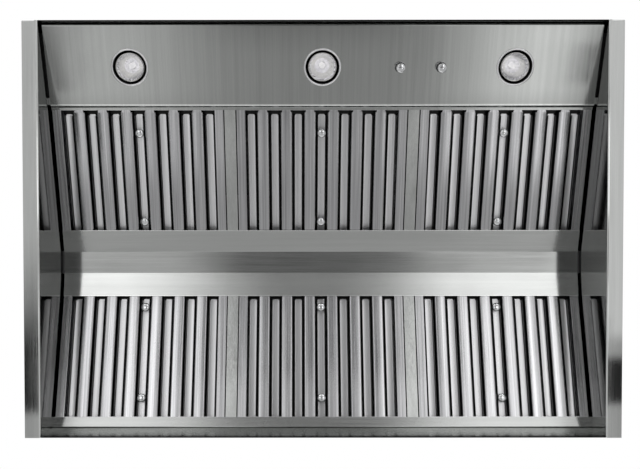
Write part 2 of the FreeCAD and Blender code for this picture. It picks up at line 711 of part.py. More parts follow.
def rotary_control(x):
    """Body behind the panel with a threaded bushing through it and a bore for the shaft."""
    half = CONTROL_BODY / 2
    base = control_back()
    body = box(-half, half, -half, half, base, base + CONTROL_BODY_DEPTH)
    bushing = cylinder(CONTROL_BUSHING_RADIUS, CONTROL_BUSHING_LENGTH, Vector(0, 0, SEAM), Z_AXIS)
    bore_depth = CONTROL_BODY_DEPTH / 2 + SEAM
    bore = cylinder(CONTROL_SHAFT_RADIUS + RUNNING_FIT, base + bore_depth, ORIGIN, Z_AXIS)
    return placed(body.fuse(bushing).cut(bore), panel_frame(x, FITTING_ALONG))


# --- blower box, collar and damper ------------------------------------------------------
def blower_box():
    """Four walls with a flange outwards at the bottom and inwards at the top."""
    low = LINER_HEIGHT + SEAM
    outside = box_around(0, low, BOX_TOP)
    foot = box_around(BOX_FLANGE, low, low + SHEET)
    inside = box_around(-SHEET, low - SHEET, BOX_TOP - SHEET)
    mouth = box_around(-TOP_FLANGE, low, BOX_TOP + SHEET)
    shell = outside.fuse(foot).cut(inside).cut(mouth)
    for x, y in box_screw_places():
        shell = shell.cut(cylinder(SCREW_RADIUS + SEAM, 3 * SHEET, Vector(x, y, low - SHEET), Z_AXIS))
    return shell


def box_around(margin, z0, z1):
    """A block over the blower box's outline, grown sideways by a margin."""
    half_x = BOX_WIDTH / 2 + margin
    half_y = BOX_DEPTH / 2 + margin
    return box(-half_x, half_x, BOX_CENTRE_Y - half_y, BOX_CENTRE_Y + half_y, z0, z1)


def box_screw_places():
    """Screws along the middle of the blower box's bottom flange."""
    half_x = BOX_WIDTH / 2 + BOX_FLANGE / 2
    half_y = BOX_DEPTH / 2 + BOX_FLANGE / 2
    places = []
    for index in range(BOX_SCREW_COUNT_X):
        x = -half_x + 2 * half_x * index / (BOX_SCREW_COUNT_X - 1)
        places += [(x, BOX_CENTRE_Y - half_y), (x, BOX_CENTRE_Y + half_y)]
    for index in range(1, BOX_SCREW_COUNT_Y - 1):
        y = BOX_CENTRE_Y - half_y + 2 * half_y * index / (BOX_SCREW_COUNT_Y - 1)
        places += [(-half_x, y), (half_x, y)]
    return places


def housing_screws():
    head_z = LINER_HEIGHT + 2 * SEAM + SHEET
    screws = []
    for x, y in box_screw_places():
        head = cylinder(SCREW_HEAD_RADIUS, SCREW_HEAD, Vector(x, y, head_z), Z_AXIS)
        start = Vector(x, y, head_z - SCREW_LENGTH)
        thread = cylinder(SCREW_RADIUS, SCREW_LENGTH + SCREW_HEAD, start, Z_AXIS)
        screws.append(head.fuse(thread))
    return screws


def blower_box_lid():
    lid = box_around(0, BOX_TOP + SEAM, LID_TOP)
    hole = cylinder(COLLAR_RADIUS - SHEET, 4 * SHEET, Vector(0, BOX_CENTRE_Y, BOX_TOP - SHEET), Z_AXIS)
    return lid.cut(hole)


def duct_collar():
    """Round duct spigot with a bottom flange, holes for the damper rod and two stops."""
    base = LID_TOP + SEAM
    centre = Vector(0, BOX_CENTRE_Y, base)
    inner = COLLAR_RADIUS - SHEET
    spigot = tube(COLLAR_RADIUS, inner, COLLAR_HEIGHT, centre, Z_AXIS)
    flange = tube(COLLAR_RADIUS + COLLAR_FLANGE, inner, SHEET, centre, Z_AXIS)
    collar = spigot.fuse(flange).cut(damper_rod_bore(DAMPER_ROD_RADIUS + RUNNING_FIT))
    stop_top = DAMPER_Z - DAMPER_ROD_RADIUS - SEAT_GAP
    for side in (-1, 1):
        edge = BOX_CENTRE_Y + side * inner
        ys = sorted((edge + side * SHEET / 2, edge - side * DAMPER_STOP))
        stop = box(-DAMPER_STOP, DAMPER_STOP, ys[0], ys[1], stop_top - SHEET, stop_top)
        collar = collar.fuse(stop.common(cylinder(COLLAR_RADIUS - SHEET / 2, COLLAR_HEIGHT, centre, Z_AXIS)))
    return collar


def damper_rod_bore(radius):
    length = 2 * COLLAR_RADIUS + 2 * SHEET
    return cylinder(radius, length, Vector(-length / 2, BOX_CENTRE_Y, DAMPER_Z), X_AXIS)


def damper_rod():
    length = 2 * (COLLAR_RADIUS - SEAM)
    return cylinder(DAMPER_ROD_RADIUS, length, Vector(-length / 2, BOX_CENTRE_Y, DAMPER_Z), X_AXIS)


def damper_flap(side):
    """Half disc with its own hinge barrels; side -1 is the front flap and +1 the rear."""
    barrel_outer = DAMPER_ROD_RADIUS + RUNNING_FIT + DAMPER_BARREL_WALL
    radius = COLLAR_RADIUS - SHEET - DAMPER_EDGE_GAP
    centre = Vector(0, BOX_CENTRE_Y, DAMPER_Z - DAMPER_ROD_RADIUS)
    disc = cylinder(radius, FILTER_SHEET, centre, Z_AXIS)
    near = barrel_outer + SEAT_GAP
    ys = sorted((BOX_CENTRE_Y + side * near, BOX_CENTRE_Y + side * COLLAR_RADIUS))
    flap = disc.common(box(-radius, radius, ys[0], ys[1], centre.z - SHEET, centre.z + SHEET))
    for middle in damper_barrels(side):
        start = Vector(middle - DAMPER_BARREL_LENGTH / 2, BOX_CENTRE_Y, DAMPER_Z)
        barrel = cylinder(barrel_outer, DAMPER_BARREL_LENGTH, start, X_AXIS)
        ears = sorted((BOX_CENTRE_Y, BOX_CENTRE_Y + side * (near + SHEET)))
        ear = box(
            start.x, start.x + DAMPER_BARREL_LENGTH, ears[0], ears[1], centre.z, centre.z + FILTER_SHEET
        )
        flap = flap.fuse(barrel.fuse(ear))
    return flap.cut(damper_rod_bore(DAMPER_ROD_RADIUS + RUNNING_FIT))


def damper_barrels(side):
    """Middles of one flap's barrels; the two flaps take turns along the rod."""
    shift = side * (DAMPER_BARREL_LENGTH / 2 + SEAT_GAP / 2)
    spread = DAMPER_BARREL_LENGTH + SEAT_GAP
    return [shift - spread, shift + spread]


# --- blower -----------------------------------------------------------------------------
def wheel_frame(x=0.0):
    """Local Z runs along +X on the blower's axis."""
    return Placement(Vector(x, SCROLL_AXIS_Y, SCROLL_AXIS_Z), Rotation(Y_AXIS, 90))


def scroll_outline(x, inset):
    """Spiral of three growing quarter arcs, set in by a margin, that opens into the outlet above."""
    step = SCROLL_GROWTH
    first = SCROLL_FIRST_RADIUS - inset
    outlet_rear = BOX_CENTRE_Y + SCROLL_OUTLET / 2 - inset
    outlet_front = BOX_CENTRE_Y - SCROLL_OUTLET / 2 + inset
    top = BOX_TOP
    centre_a = (SCROLL_AXIS_Y, SCROLL_AXIS_Z - step)
    centre_b = (centre_a[0] + step, centre_a[1])
    centre_c = (centre_b[0], centre_b[1] + step)
    tongue = math.acos((outlet_front - centre_a[0]) / first)

    def on(centre, radius, angle):
        return Vector(x, centre[0] + radius * math.cos(angle), centre[1] + radius * math.sin(angle))

    def arc(centre, radius, start, end):
        middle = on(centre, radius, (start + end) / 2)
        return Part.Arc(on(centre, radius, start), middle, on(centre, radius, end)).toShape()

    last = first + 2 * step
    edges = [
        arc(centre_a, first, tongue, math.pi),
        arc(centre_b, first + step, math.pi, 1.5 * math.pi),
        arc(centre_c, last, 1.5 * math.pi, 2 * math.pi),
        Part.makeLine(on(centre_c, last, 0), Vector(x, outlet_rear, top)),
        Part.makeLine(Vector(x, outlet_rear, top), Vector(x, outlet_front, top)),
        Part.makeLine(Vector(x, outlet_front, top), on(centre_a, first, tongue)),
    ]
    return Part.Face(Part.Wire(edges))


def scroll_housing():
    """Spiral casing with two round inlets and an outlet flange under the box's top."""
    half = SCROLL_WIDTH / 2
    solid = scroll_outline(-half, 0).extrude(X_AXIS * SCROLL_WIDTH)
    hollow = scroll_outline(-half + SHEET, SHEET).extrude(X_AXIS * (SCROLL_WIDTH - 2 * SHEET))
    shell = solid.cut(hollow)
    start = Vector(-half - SHEET, SCROLL_AXIS_Y, SCROLL_AXIS_Z)
    shell = shell.cut(cylinder(INLET_RADIUS, SCROLL_WIDTH + 2 * SHEET, start, X_AXIS))
    top = BOX_TOP
    outer_y = SCROLL_OUTLET / 2 + SCROLL_FLANGE
    inner_y = SCROLL_OUTLET / 2 - SHEET
    flange = box(-half - SCROLL_FLANGE, half + SCROLL_FLANGE, -outer_y, outer_y, top - SHEET, top)
    flange = flange.cut(box(-half + SHEET, half - SHEET, -inner_y, inner_y, top - SHEET, top))
    flange.translate(Y_AXIS * BOX_CENTRE_Y)
    return shell.fuse(flange)


def inlet_ring(side):
    """Rolled ring on the outside of one inlet."""
    profile = [
        (INLET_RADIUS - SHEET, SEAM),
        (INLET_RADIUS + INLET_RING_WIDTH, SEAM),
        (INLET_RADIUS + INLET_RING_WIDTH, SEAM + SHEET),
        (INLET_RADIUS + INLET_ROLL, SEAM + SHEET),
        (INLET_RADIUS + INLET_ROLL, SEAM + INLET_ROLL),
        (INLET_RADIUS, SEAM + INLET_ROLL),
    ]
    turn = Rotation(Y_AXIS, 90 * side)
    place = Placement(Vector(side * SCROLL_WIDTH / 2, SCROLL_AXIS_Y, SCROLL_AXIS_Z), turn)
    return revolved(profile, place)


def blower_wheel():
    """Double-inlet wheel: hub and middle plate, blades on both sides, two end rings."""
    half = WHEEL_WIDTH / 2
    bore = SHAFT_RADIUS
    plate = cylinder(WHEEL_RADIUS, WHEEL_PLATE, Vector(0, 0, -WHEEL_PLATE / 2), Z_AXIS)
    hub = cylinder(WHEEL_HUB_RADIUS, WHEEL_HUB_LENGTH, Vector(0, 0, -WHEEL_HUB_LENGTH / 2), Z_AXIS)
    pieces = [hub]
    for end in (-half, half - WHEEL_PLATE):
        start = Vector(0, 0, end)
        pieces.append(tube(WHEEL_RADIUS, WHEEL_RADIUS - BLADE_DEPTH, WHEEL_PLATE, start, Z_AXIS))
    for index in range(WHEEL_BLADES):
        blade = Part.makeBox(BLADE_DEPTH, BLADE_THICKNESS, WHEEL_WIDTH)
        blade.translate(Vector(-BLADE_DEPTH / 2, -BLADE_THICKNESS / 2, -half))
        blade.rotate(ORIGIN, Z_AXIS, BLADE_ANGLE)
        blade.translate(X_AXIS * (WHEEL_RADIUS - BLADE_DEPTH / 2))
        blade.rotate(ORIGIN, Z_AXIS, 360 * index / WHEEL_BLADES)
        pieces.append(blade)
    wheel = plate.multiFuse(pieces).cut(cylinder(bore, WHEEL_WIDTH, Vector(0, 0, -half), Z_AXIS))
    return placed(wheel, wheel_frame())


def motor_face():
    """X of the motor's face nearest the scroll."""
    return -SCROLL_WIDTH / 2 - MOTOR_GAP


def blower_shaft():
    start = motor_face() - MOTOR_LENGTH - MOTOR_BOSS_LENGTH - SHAFT_PAST_HUB
    length = WHEEL_HUB_LENGTH / 2 + SHAFT_PAST_HUB - start
    return placed(cylinder(SHAFT_RADIUS, length, ORIGIN, Z_AXIS), wheel_frame(start))


def motor_casing():
    """Round motor body with a bearing boss at each end."""
    reach = MOTOR_LENGTH + 2 * MOTOR_BOSS_LENGTH
    start = motor_face() - MOTOR_LENGTH - MOTOR_BOSS_LENGTH
    bosses = cylinder(MOTOR_BOSS_RADIUS, reach, ORIGIN, Z_AXIS)
    body = cylinder(MOTOR_RADIUS, MOTOR_LENGTH, Vector(0, 0, MOTOR_BOSS_LENGTH), Z_AXIS)
    bore = cylinder(SHAFT_RADIUS + RUNNING_FIT, reach, ORIGIN, Z_AXIS)
    return placed(body.fuse(bosses).cut(bore), wheel_frame(start))


def motor_bracket():
    """Band round the motor with arms out to the side of the scroll."""
    start = motor_face() - MOTOR_LENGTH / 2 - MOTOR_BAND / 2
    inner = MOTOR_RADIUS + SEAM
    bracket = tube(inner + 2 * SHEET, inner, MOTOR_BAND, ORIGIN, Z_AXIS)
    scroll_side = -SCROLL_WIDTH / 2 - SEAM - start
    half = MOTOR_ARM_WIDTH / 2
    for index in range(MOTOR_ARMS):
        out = box(inner + SHEET, MOTOR_ARM_REACH, -half, half, 0, 2 * SHEET)
        along = box(MOTOR_ARM_REACH - 2 * SHEET, MOTOR_ARM_REACH, -half, half, 0, scroll_side)
        arm = out.fuse(along)
        arm.rotate(ORIGIN, Z_AXIS, 360 * index / MOTOR_ARMS)
        bracket = bracket.fuse(arm)
    return placed(bracket, wheel_frame(start))


# --- hanging brackets and wiring --------------------------------------------------------
def hanging_brackets():
    """Four stepped brackets on the roof, each with a hole for a threaded rod."""
    base = LINER_HEIGHT + SEAM
    tab_z = base + HANGER_RISE
    hole_y = REAR_Y - HANGER_INSET_Y
    edge = hole_y - HANGER_TAB / 2
    profile = [
        (edge - HANGER_FOOT, base),
        (edge, base),
        (edge, tab_z - HANGER_SHEET),
        (edge + HANGER_TAB, tab_z - HANGER_SHEET),
    ]
    half = HANGER_WIDTH / 2
    brackets = []
    for side_x in (-1, 1):
        x = side_x * (HALF_WIDTH - HANGER_INSET_X)
        bracket = bent_sheet(profile, HANGER_SHEET, x - half, x + half)
        start = Vector(x, hole_y, tab_z - 2 * HANGER_SHEET)
        bracket = bracket.cut(cylinder(HANGER_HOLE_RADIUS, 4 * HANGER_SHEET, start, Z_AXIS))
        brackets += [bracket, bracket.mirror(ORIGIN, Y_AXIS)]
    return brackets


def junction_box():
    """Wiring box on the roof, open at the top, with a round supply hole in its front side."""
    half = JUNCTION_SIDE / 2
    low = LINER_HEIGHT + SEAM
    high = low + JUNCTION_HEIGHT
    shell = square_around(half, low, high).cut(square_around(half - SHEET, low + SHEET, high + SHEET))
    wiring = Vector(JUNCTION_X, JUNCTION_Y, low - SHEET)
    shell = shell.cut(cylinder(SUPPLY_HOLE_RADIUS, 4 * SHEET, wiring, Z_AXIS))
    return shell.cut(supply_bore(SUPPLY_HOLE_RADIUS + SUPPLY_RIM, 4 * SHEET))


def square_around(half, z0, z1):
    """A square block about the junction box's middle."""
    return box(JUNCTION_X - half, JUNCTION_X + half, JUNCTION_Y - half, JUNCTION_Y + half, z0, z1)


def supply_bore(radius, length):
    """Cylinder through the junction box's front side, centred on the wall."""
    wall_y = JUNCTION_Y - JUNCTION_SIDE / 2
    z = LINER_HEIGHT + SEAM + JUNCTION_HEIGHT / 2
    return cylinder(radius, length, Vector(JUNCTION_X, wall_y - length / 2, z), Y_AXIS)


def junction_box_cover():
    low = LINER_HEIGHT + JUNCTION_HEIGHT + 2 * SEAM
    return square_around(JUNCTION_SIDE / 2 + SHEET, low, low + SHEET)


def supply_bushing():
    """Flanged bushing in the supply hole, bored for the cable or conduit fitting."""
    wall_y = JUNCTION_Y - JUNCTION_SIDE / 2
    z = LINER_HEIGHT + SEAM + JUNCTION_HEIGHT / 2
    body = supply_bore(SUPPLY_HOLE_RADIUS + SUPPLY_RIM - SEAM, 4 * SUPPLY_FLANGE)
    start = Vector(JUNCTION_X, wall_y - SEAM - SUPPLY_FLANGE, z)
    flange = cylinder(SUPPLY_HOLE_RADIUS + 2 * SUPPLY_RIM, SUPPLY_FLANGE, start, Y_AXIS)
    return body.fuse(flange).cut(supply_bore(SUPPLY_HOLE_RADIUS, 6 * SUPPLY_FLANGE))


# --- build ------------------------------------------------------------------------------
def build_liner():
    right = side_wall()
    save("right_side_wall", right)
    save("left_side_wall", mirrored(right))
    save("front_wall", front_wall())
    save("rear_wall", rear_wall())
    save("top_panel", top_panel())
    save("control_panel", control_panel())
    save("panel_end_brackets", [panel_end_bracket(-1), panel_end_bracket(1)])
    save("front_grease_trough", front_grease_trough())
    save("rear_grease_trough", rear_grease_trough())
    save("center_ridge", center_ridge())
    save("ridge_beam", ridge_beam())


def build_filters():
    frame = filter_frame()
    handles = filter_handles()
    centres = filter_centres()
    dividers = [(left + right) / 2 for left, right in zip(centres, centres[1:])]
    save("filter_dividers", [filter_divider(bank, x) for bank in ("front", "rear") for x in dividers])
    for bank in ("front", "rear"):
        baffles = filter_baffles(bank)
        for side, x in zip(SIDE_NAMES, centres):
            place = filter_place(bank, x)
            name = bank + "_" + side
            save("frame_" + name, placed(frame, place))
            save("baffles_" + name, [placed(shape, place) for shape in baffles])
            save("handles_" + name, [placed(shape, place) for shape in handles])


def build_lamps():
    for side, x in zip(SIDE_NAMES, LAMP_X):
        save("lamp_trim_" + side, lamp_trim(x))
        save("lamp_bulb_" + side, lamp_bulb(x))
    save("lamp_sockets", [lamp_socket(x) for x in LAMP_X])


def build_controls():
    save("fan_knob", control_knob(FAN_KNOB_X))
    save("light_knob", control_knob(LIGHT_KNOB_X))
    save("fan_control_shaft", control_shaft(FAN_KNOB_X))
    save("light_control_shaft", control_shaft(LIGHT_KNOB_X))
    save("rotary_controls", [rotary_control(FAN_KNOB_X), rotary_control(LIGHT_KNOB_X)])


def build_blower():
    save("blower_box", blower_box())
    save("blower_box_lid", blower_box_lid())
    save("housing_screws", housing_screws())
    save("duct_collar", duct_collar())
    save("damper_rod", damper_rod())
    save("damper_flap_front", damper_flap(-1))
    save("damper_flap_rear", damper_flap(1))
    save("scroll_housing", scroll_housing())
    save("inlet_rings", [inlet_ring(-1), inlet_ring(1)])
    save("blower_wheel", blower_wheel())
    save("blower_shaft", blower_shaft())
    save("motor_casing", motor_casing())
    save("motor_bracket", motor_bracket())


def build_roof():
    save("hanging_brackets", hanging_brackets())
    save("junction_box", junction_box())
    save("junction_box_cover", junction_box_cover())
    save("supply_bushing", supply_bushing())


os.makedirs("parts", exist_ok=True)
build_liner()
build_filters()
build_lamps()
build_controls()
build_blower()
build_roof()
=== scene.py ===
"""Looks of the range hood insert, seen from below: materials, detailed pieces, light and camera.

The detailed pieces are written in millimetres, which MM turns into metres. The floor, the lights
and the camera are in metres.
"""

import math

import bmesh
import bpy
from mathutils import Matrix, Vector


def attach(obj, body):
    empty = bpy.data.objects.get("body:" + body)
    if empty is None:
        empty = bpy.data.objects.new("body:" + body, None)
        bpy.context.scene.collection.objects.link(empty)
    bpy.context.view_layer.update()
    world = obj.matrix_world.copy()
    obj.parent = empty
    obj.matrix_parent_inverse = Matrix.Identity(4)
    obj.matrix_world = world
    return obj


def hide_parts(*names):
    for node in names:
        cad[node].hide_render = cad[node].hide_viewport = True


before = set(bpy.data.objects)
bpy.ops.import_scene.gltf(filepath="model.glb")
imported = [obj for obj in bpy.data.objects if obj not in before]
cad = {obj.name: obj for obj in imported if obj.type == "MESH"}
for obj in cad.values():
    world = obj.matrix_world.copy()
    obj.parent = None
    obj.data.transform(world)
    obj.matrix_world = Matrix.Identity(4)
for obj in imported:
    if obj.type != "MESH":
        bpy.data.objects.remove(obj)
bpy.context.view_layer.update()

MM = 0.001
SIDES = ("left", "middle", "right")
BANKS = ("front", "rear")
FILTERS = tuple(f"{bank}_{side}" for bank in BANKS for side in SIDES)

# --- sizes repeated from the CAD model, in millimetres ----------------------------------
PANEL_FRONT = (-420.6, 12.7)                # Y and Z of the panel's front edge
PANEL_RUN = 159.9
PANEL_RISE = 53.8
PANEL_ANGLE = math.atan2(PANEL_RISE, PANEL_RUN)
FITTING_RUN = 83.9                          # from the panel's front edge to lamps and knobs, level
FITTING_ALONG = FITTING_RUN / math.cos(PANEL_ANGLE)
LAMP_X = (-400.0, 0.0, 400.0)
FAN_KNOB_X = 161.0
LIGHT_KNOB_X = 246.0
FILTER_TILT = math.radians(15.0)
FILTER_X = (-391.0, 0.0, 391.0)
FRONT_LEDGE = (-256.6, 73.7)                # Y and Z of the ledge below each bank's low end
REAR_LEDGE = (403.6, 81.8)
FILTER_HEAD = -12.0                         # a filter's front end, from its origin
FILTER_LENGTH = 315.96
HEAD_RAIL = 16.5
TAIL_RAIL = 12.5
SHOULDERS = {"front": 29.6, "rear": 49.5}   # from a filter's front end to its slots' round ends
SLOTS = 7
SLOT_PITCH = 50.246
LAND_HALF = 12.56                           # half of the width between two slots
HANDLE_HEAD_INSET = 66.6
HANDLE_TAIL_INSET = 51.7
INSIDE_WALL = 577.4                         # from the middle to a side wall's inner face
RIDGE_FLAT_Y = (51.0, 101.0)


# --- node tree helpers ------------------------------------------------------------------
MIDDLE = (0.3, 0.7)                         # where most of a noise texture's values lie


def combine(tree, operation, values):
    """Join several outputs into one with a chain of math nodes."""
    total = values[0]
    for value in values[1:]:
        both = tree.nodes.new("ShaderNodeMath")
        both.operation = operation
        tree.links.new(total, both.inputs[0])
        tree.links.new(value, both.inputs[1])
        total = both.outputs[0]
    return total


class Shader:
    """A node material under construction."""

    def __init__(self, name):
        self.material = bpy.data.materials.new(name)
        self.material.use_nodes = True
        self.tree = self.material.node_tree
        self.surface = self.tree.nodes["Principled BSDF"]

    def node(self, kind, **settings):
        made = self.tree.nodes.new("ShaderNode" + kind)
        for key, value in settings.items():
            setattr(made, key, value)
        return made

    def link(self, source, target):
        self.tree.links.new(source, target)

    def feed(self, source, socket):
        """Link an output to one of the surface's own sockets."""
        self.link(source, self.surface.inputs[socket])

    def set(self, **values):
        """Set constants on the surface's own sockets; underscores stand for spaces."""
        for key, value in values.items():
            self.surface.inputs[key.replace("_", " ")].default_value = value

    def place(self):
        """Object-space coordinates, in metres."""
        return self.node("TexCoord").outputs["Object"]

    def noise(self, cells, detail=3.0, roughness=0.55, distortion=0.0):
        """Noise with so many cells per metre, one number or one each for X, Y and Z."""
        mapping = self.node("Mapping")
        mapping.inputs["Scale"].default_value = cells if isinstance(cells, tuple) else (cells,) * 3
        texture = self.node("TexNoise")
        texture.inputs["Scale"].default_value = 1.0
        texture.inputs["Detail"].default_value = detail
        texture.inputs["Roughness"].default_value = roughness
        texture.inputs["Distortion"].default_value = distortion
        self.link(self.place(), mapping.inputs["Vector"])
        self.link(mapping.outputs["Vector"], texture.inputs["Vector"])
        return texture.outputs["Fac"]

    def facets(self, cells, randomness=1.0):
        """Voronoi cells, so many per metre."""
        texture = self.node("TexVoronoi", feature="F1")
        texture.inputs["Scale"].default_value = cells
        texture.inputs["Randomness"].default_value = randomness
        self.link(self.place(), texture.inputs["Vector"])
        return texture.outputs

    def ramp(self, value, low, high, ends=MIDDLE):
        """Map the values between two ends to a range of numbers."""
        span = self.node("MapRange")
        span.inputs["From Min"].default_value = ends[0]
        span.inputs["From Max"].default_value = ends[1]
        span.inputs["To Min"].default_value = low
        span.inputs["To Max"].default_value = high
        self.link(value, span.inputs["Value"])
        return span.outputs["Result"]

    def colours(self, value, low, high, ends=MIDDLE):
        """Map the values between two ends to a range of colours."""
        span = self.node("ValToRGB")
        for stop, colour, position in zip(span.color_ramp.elements, (low, high), ends):
            stop.position = position
            stop.color = (*colour, 1.0)
        self.link(value, span.inputs["Fac"])
        return span.outputs["Color"]

    def add(self, first, second, share):
        """first plus second times a share."""
        both = self.node("Math", operation="MULTIPLY_ADD")
        both.inputs[1].default_value = share
        self.link(second, both.inputs[0])
        self.link(first, both.inputs[2])
        return both.outputs[0]

    def bump(self, height, distance, strength=1.0):
        """Raise the surface by a height map; the distance is in metres."""
        relief = self.node("Bump")
        relief.inputs["Strength"].default_value = strength
        relief.inputs["Distance"].default_value = distance
        self.link(height, relief.inputs["Height"])
        self.feed(relief.outputs["Normal"], "Normal")

    def painted_band(self, colour, limits, factor):
        """Scale a colour where every (axis, centre, half width) limit holds, in millimetres: a painted
        highlight or painted shade.
        """
        axes = self.node("SeparateXYZ")
        self.link(self.place(), axes.inputs["Vector"])
        inside = []
        for axis, centre, half in limits:
            near = self.node("Math", operation="COMPARE")
            near.inputs[1].default_value = centre * MM
            near.inputs[2].default_value = half * MM
            self.link(axes.outputs[axis], near.inputs[0])
            inside.append(near.outputs[0])
        share = combine(self.tree, "MULTIPLY", inside)
        scaled = self.node("VectorMath", operation="SCALE")
        self.link(colour, scaled.inputs[0])
        self.link(self.ramp(share, 1.0, factor, (0.0, 1.0)), scaled.inputs["Scale"])
        return scaled.outputs["Vector"]

    def grain_tangent(self, grain):
        """Blur across the grain: the tangent lies in the surface, at a right angle to it."""
        geometry = self.node("NewGeometry")
        cross = self.node("VectorMath", operation="CROSS_PRODUCT")
        cross.inputs[1].default_value = grain
        self.link(geometry.outputs["Normal"], cross.inputs[0])
        self.feed(cross.outputs["Vector"], "Tangent")


# --- kinds of material ------------------------------------------------------------------
AXES = {"x": (1.0, 0.0, 0.0), "y": (0.0, 1.0, 0.0), "z": (0.0, 0.0, 1.0)}
BRUSH_ALONG = 5.0                           # cells of the brush lines per metre
BRUSH_ACROSS = 420.0
WIPE_ALONG = 1.3                            # wipe marks per metre along the grain


def stretched(lines, along, across):
    """Cells per metre on X, Y and Z of a texture drawn out along one or two axes."""
    return tuple(along if axis in lines else across for axis in "xyz")


def brushed_steel(name, grain, dark, light, roughness, anisotropy,
                  streak=0.00002, painted_bands=(), lines=None, wipe=60.0, sloped=False):
    """Stainless sheet with fine brush lines along one axis and faint wipe marks.

    Bands (limits, factor) are painted highlights and painted shade: they scale the tone inside
    their limits. The visible streaks follow the axis in lines, or else the grain, and wipe is how
    many wipe marks a metre holds across them. On a sloped sheet the streaks climb with it, so they
    are long in Z as well. streak is the depth of the brush lines in metres.
    """
    shader = Shader(name)
    lines = (lines or grain) + ("z" if sloped else "")
    fine = shader.noise(stretched(lines, BRUSH_ALONG, BRUSH_ACROSS), detail=5.0, roughness=0.65)
    broad = shader.noise(stretched(lines, WIPE_ALONG, wipe))
    smudge = shader.noise(5.0, detail=4.0, distortion=0.6)
    tone = shader.add(shader.ramp(broad, 0.0, 0.3), fine, 0.7)
    colour = shader.colours(tone, dark, light, (0.2, 0.85))
    # Painted highlights and painted shade: the tone is scaled inside each band's limits.
    for limits, factor in painted_bands:
        colour = shader.painted_band(colour, limits, factor)
    shader.feed(colour, "Base Color")
    brushed = shader.ramp(fine, *roughness)
    worn = shader.add(brushed, shader.ramp(smudge, -0.5, 0.5), 0.03)
    shader.feed(worn, "Roughness")
    shader.bump(fine, streak)
    shader.grain_tangent(AXES[grain])
    shader.set(Metallic=1.0, Anisotropic=anisotropy)
    return shader.material


def bright_metal(name, colour, roughness):
    """Polished chrome with faint turning marks and finger smears."""
    shader = Shader(name)
    smear = shader.noise(60.0, detail=4.0, distortion=0.8)
    turned = shader.noise(900.0, detail=2.0)
    shade = tuple(channel * 0.93 for channel in colour)
    shader.feed(shader.colours(smear, shade, colour), "Base Color")
    shader.feed(shader.ramp(smear, roughness, roughness * 2.0), "Roughness")
    shader.bump(turned, distance=0.000004)
    shader.set(Metallic=1.0)
    return shader.material


def zinc_steel():
    """Galvanised sheet: pale spangles of different greys, slightly dulled."""
    shader = Shader("zinc_sheet")
    cells = shader.facets(110.0, randomness=0.95)
    wobble = shader.noise(30.0)
    spangle = shader.node("SeparateColor")
    shader.link(cells["Color"], spangle.inputs["Color"])
    tone = shader.add(spangle.outputs["Red"], wobble, 0.5)
    ends = (0.1, 1.3)
    colour = shader.colours(tone, (0.50, 0.52, 0.54), (0.72, 0.74, 0.75), ends)
    shader.feed(colour, "Base Color")
    shader.feed(shader.ramp(tone, 0.34, 0.50, ends), "Roughness")
    shader.bump(spangle.outputs["Red"], distance=0.00003, strength=0.35)
    shader.set(Metallic=1.0)
    return shader.material


def moulded_plastic(name, dark, light, roughness, glow=0.0):
    """Moulded plastic, ceramic or stove enamel with a fine skin and dust in its tone."""
    shader = Shader(name)
    skin = shader.noise(1800.0, detail=2.0)
    dust = shader.noise(25.0, detail=5.0)
    shader.feed(shader.colours(dust, dark, light), "Base Color")
    shader.feed(shader.ramp(dust, roughness, roughness + 0.14), "Roughness")
    shader.bump(skin, distance=0.00002, strength=0.6)
    if glow:
        shader.set(Emission_Color=(1.0, 0.98, 0.96, 1.0), Emission_Strength=glow)
    return shader.material


def lamp_glass():
    """Pressed glass with a faint ripple, slightly milky so that it catches light."""
    shader = Shader("lamp_lens")
    ripple = shader.noise(220.0, detail=2.0)
    haze = shader.noise(70.0)
    colour = shader.colours(haze, (0.80, 0.80, 0.83), (0.96, 0.96, 0.97))
    shader.feed(colour, "Base Color")
    shader.feed(shader.ramp(haze, 0.04, 0.12), "Roughness")
    shader.bump(ripple, distance=0.0003, strength=0.9)
    shader.set(Transmission_Weight=0.82, IOR=1.48)
    return shader.material


def lamp_reflector():
    """Faceted aluminium reflector inside a bulb."""
    shader = Shader("lamp_reflector")
    depth = shader.facets(230.0)["Distance"]
    ends = (0.0, 0.8)
    colour = shader.colours(depth, (0.94, 0.94, 0.96), (0.70, 0.70, 0.73), ends)
    shader.feed(colour, "Base Color")
    shader.feed(shader.ramp(depth, 0.10, 0.20, ends), "Roughness")
    shader.bump(depth, distance=0.0012, strength=0.8)
    shader.set(Metallic=1.0)
    return shader.material


# --- the hood's materials ---------------------------------------------------------------
def painted_band(factor, *limits):
    """A stretch of steel whose tone is scaled where every limit holds: a painted highlight or painted
    shade.
    """
    return limits, factor


# A limit is an axis, a middle and half of a width. Painted highlights run along the bends of the
# sheets; painted shade darkens the side walls' inner side and the end walls' rim and foot.
WALL_FOOT = 1.7
WALL_FOOT_HEIGHTS = ("Z", 0.0, 3.0)
PANEL_EDGE = 1.5
PANEL_LEDGE_Y = -262.2
RIDGE_EDGE = 0.9
RIDGE_FRONT_Y = 4.8
RIDGE_REAR_Y = 150.3
RIDGE_HEIGHTS = ("Z", 140.0, 20.0)
END_WALL_RIM = ("Z", 0.0, 2.2)
END_WALL_FOOT = ("Z", 0.0, 14.0)
END_WALL_INSIDE = ("Y", 0.0, 424.2)
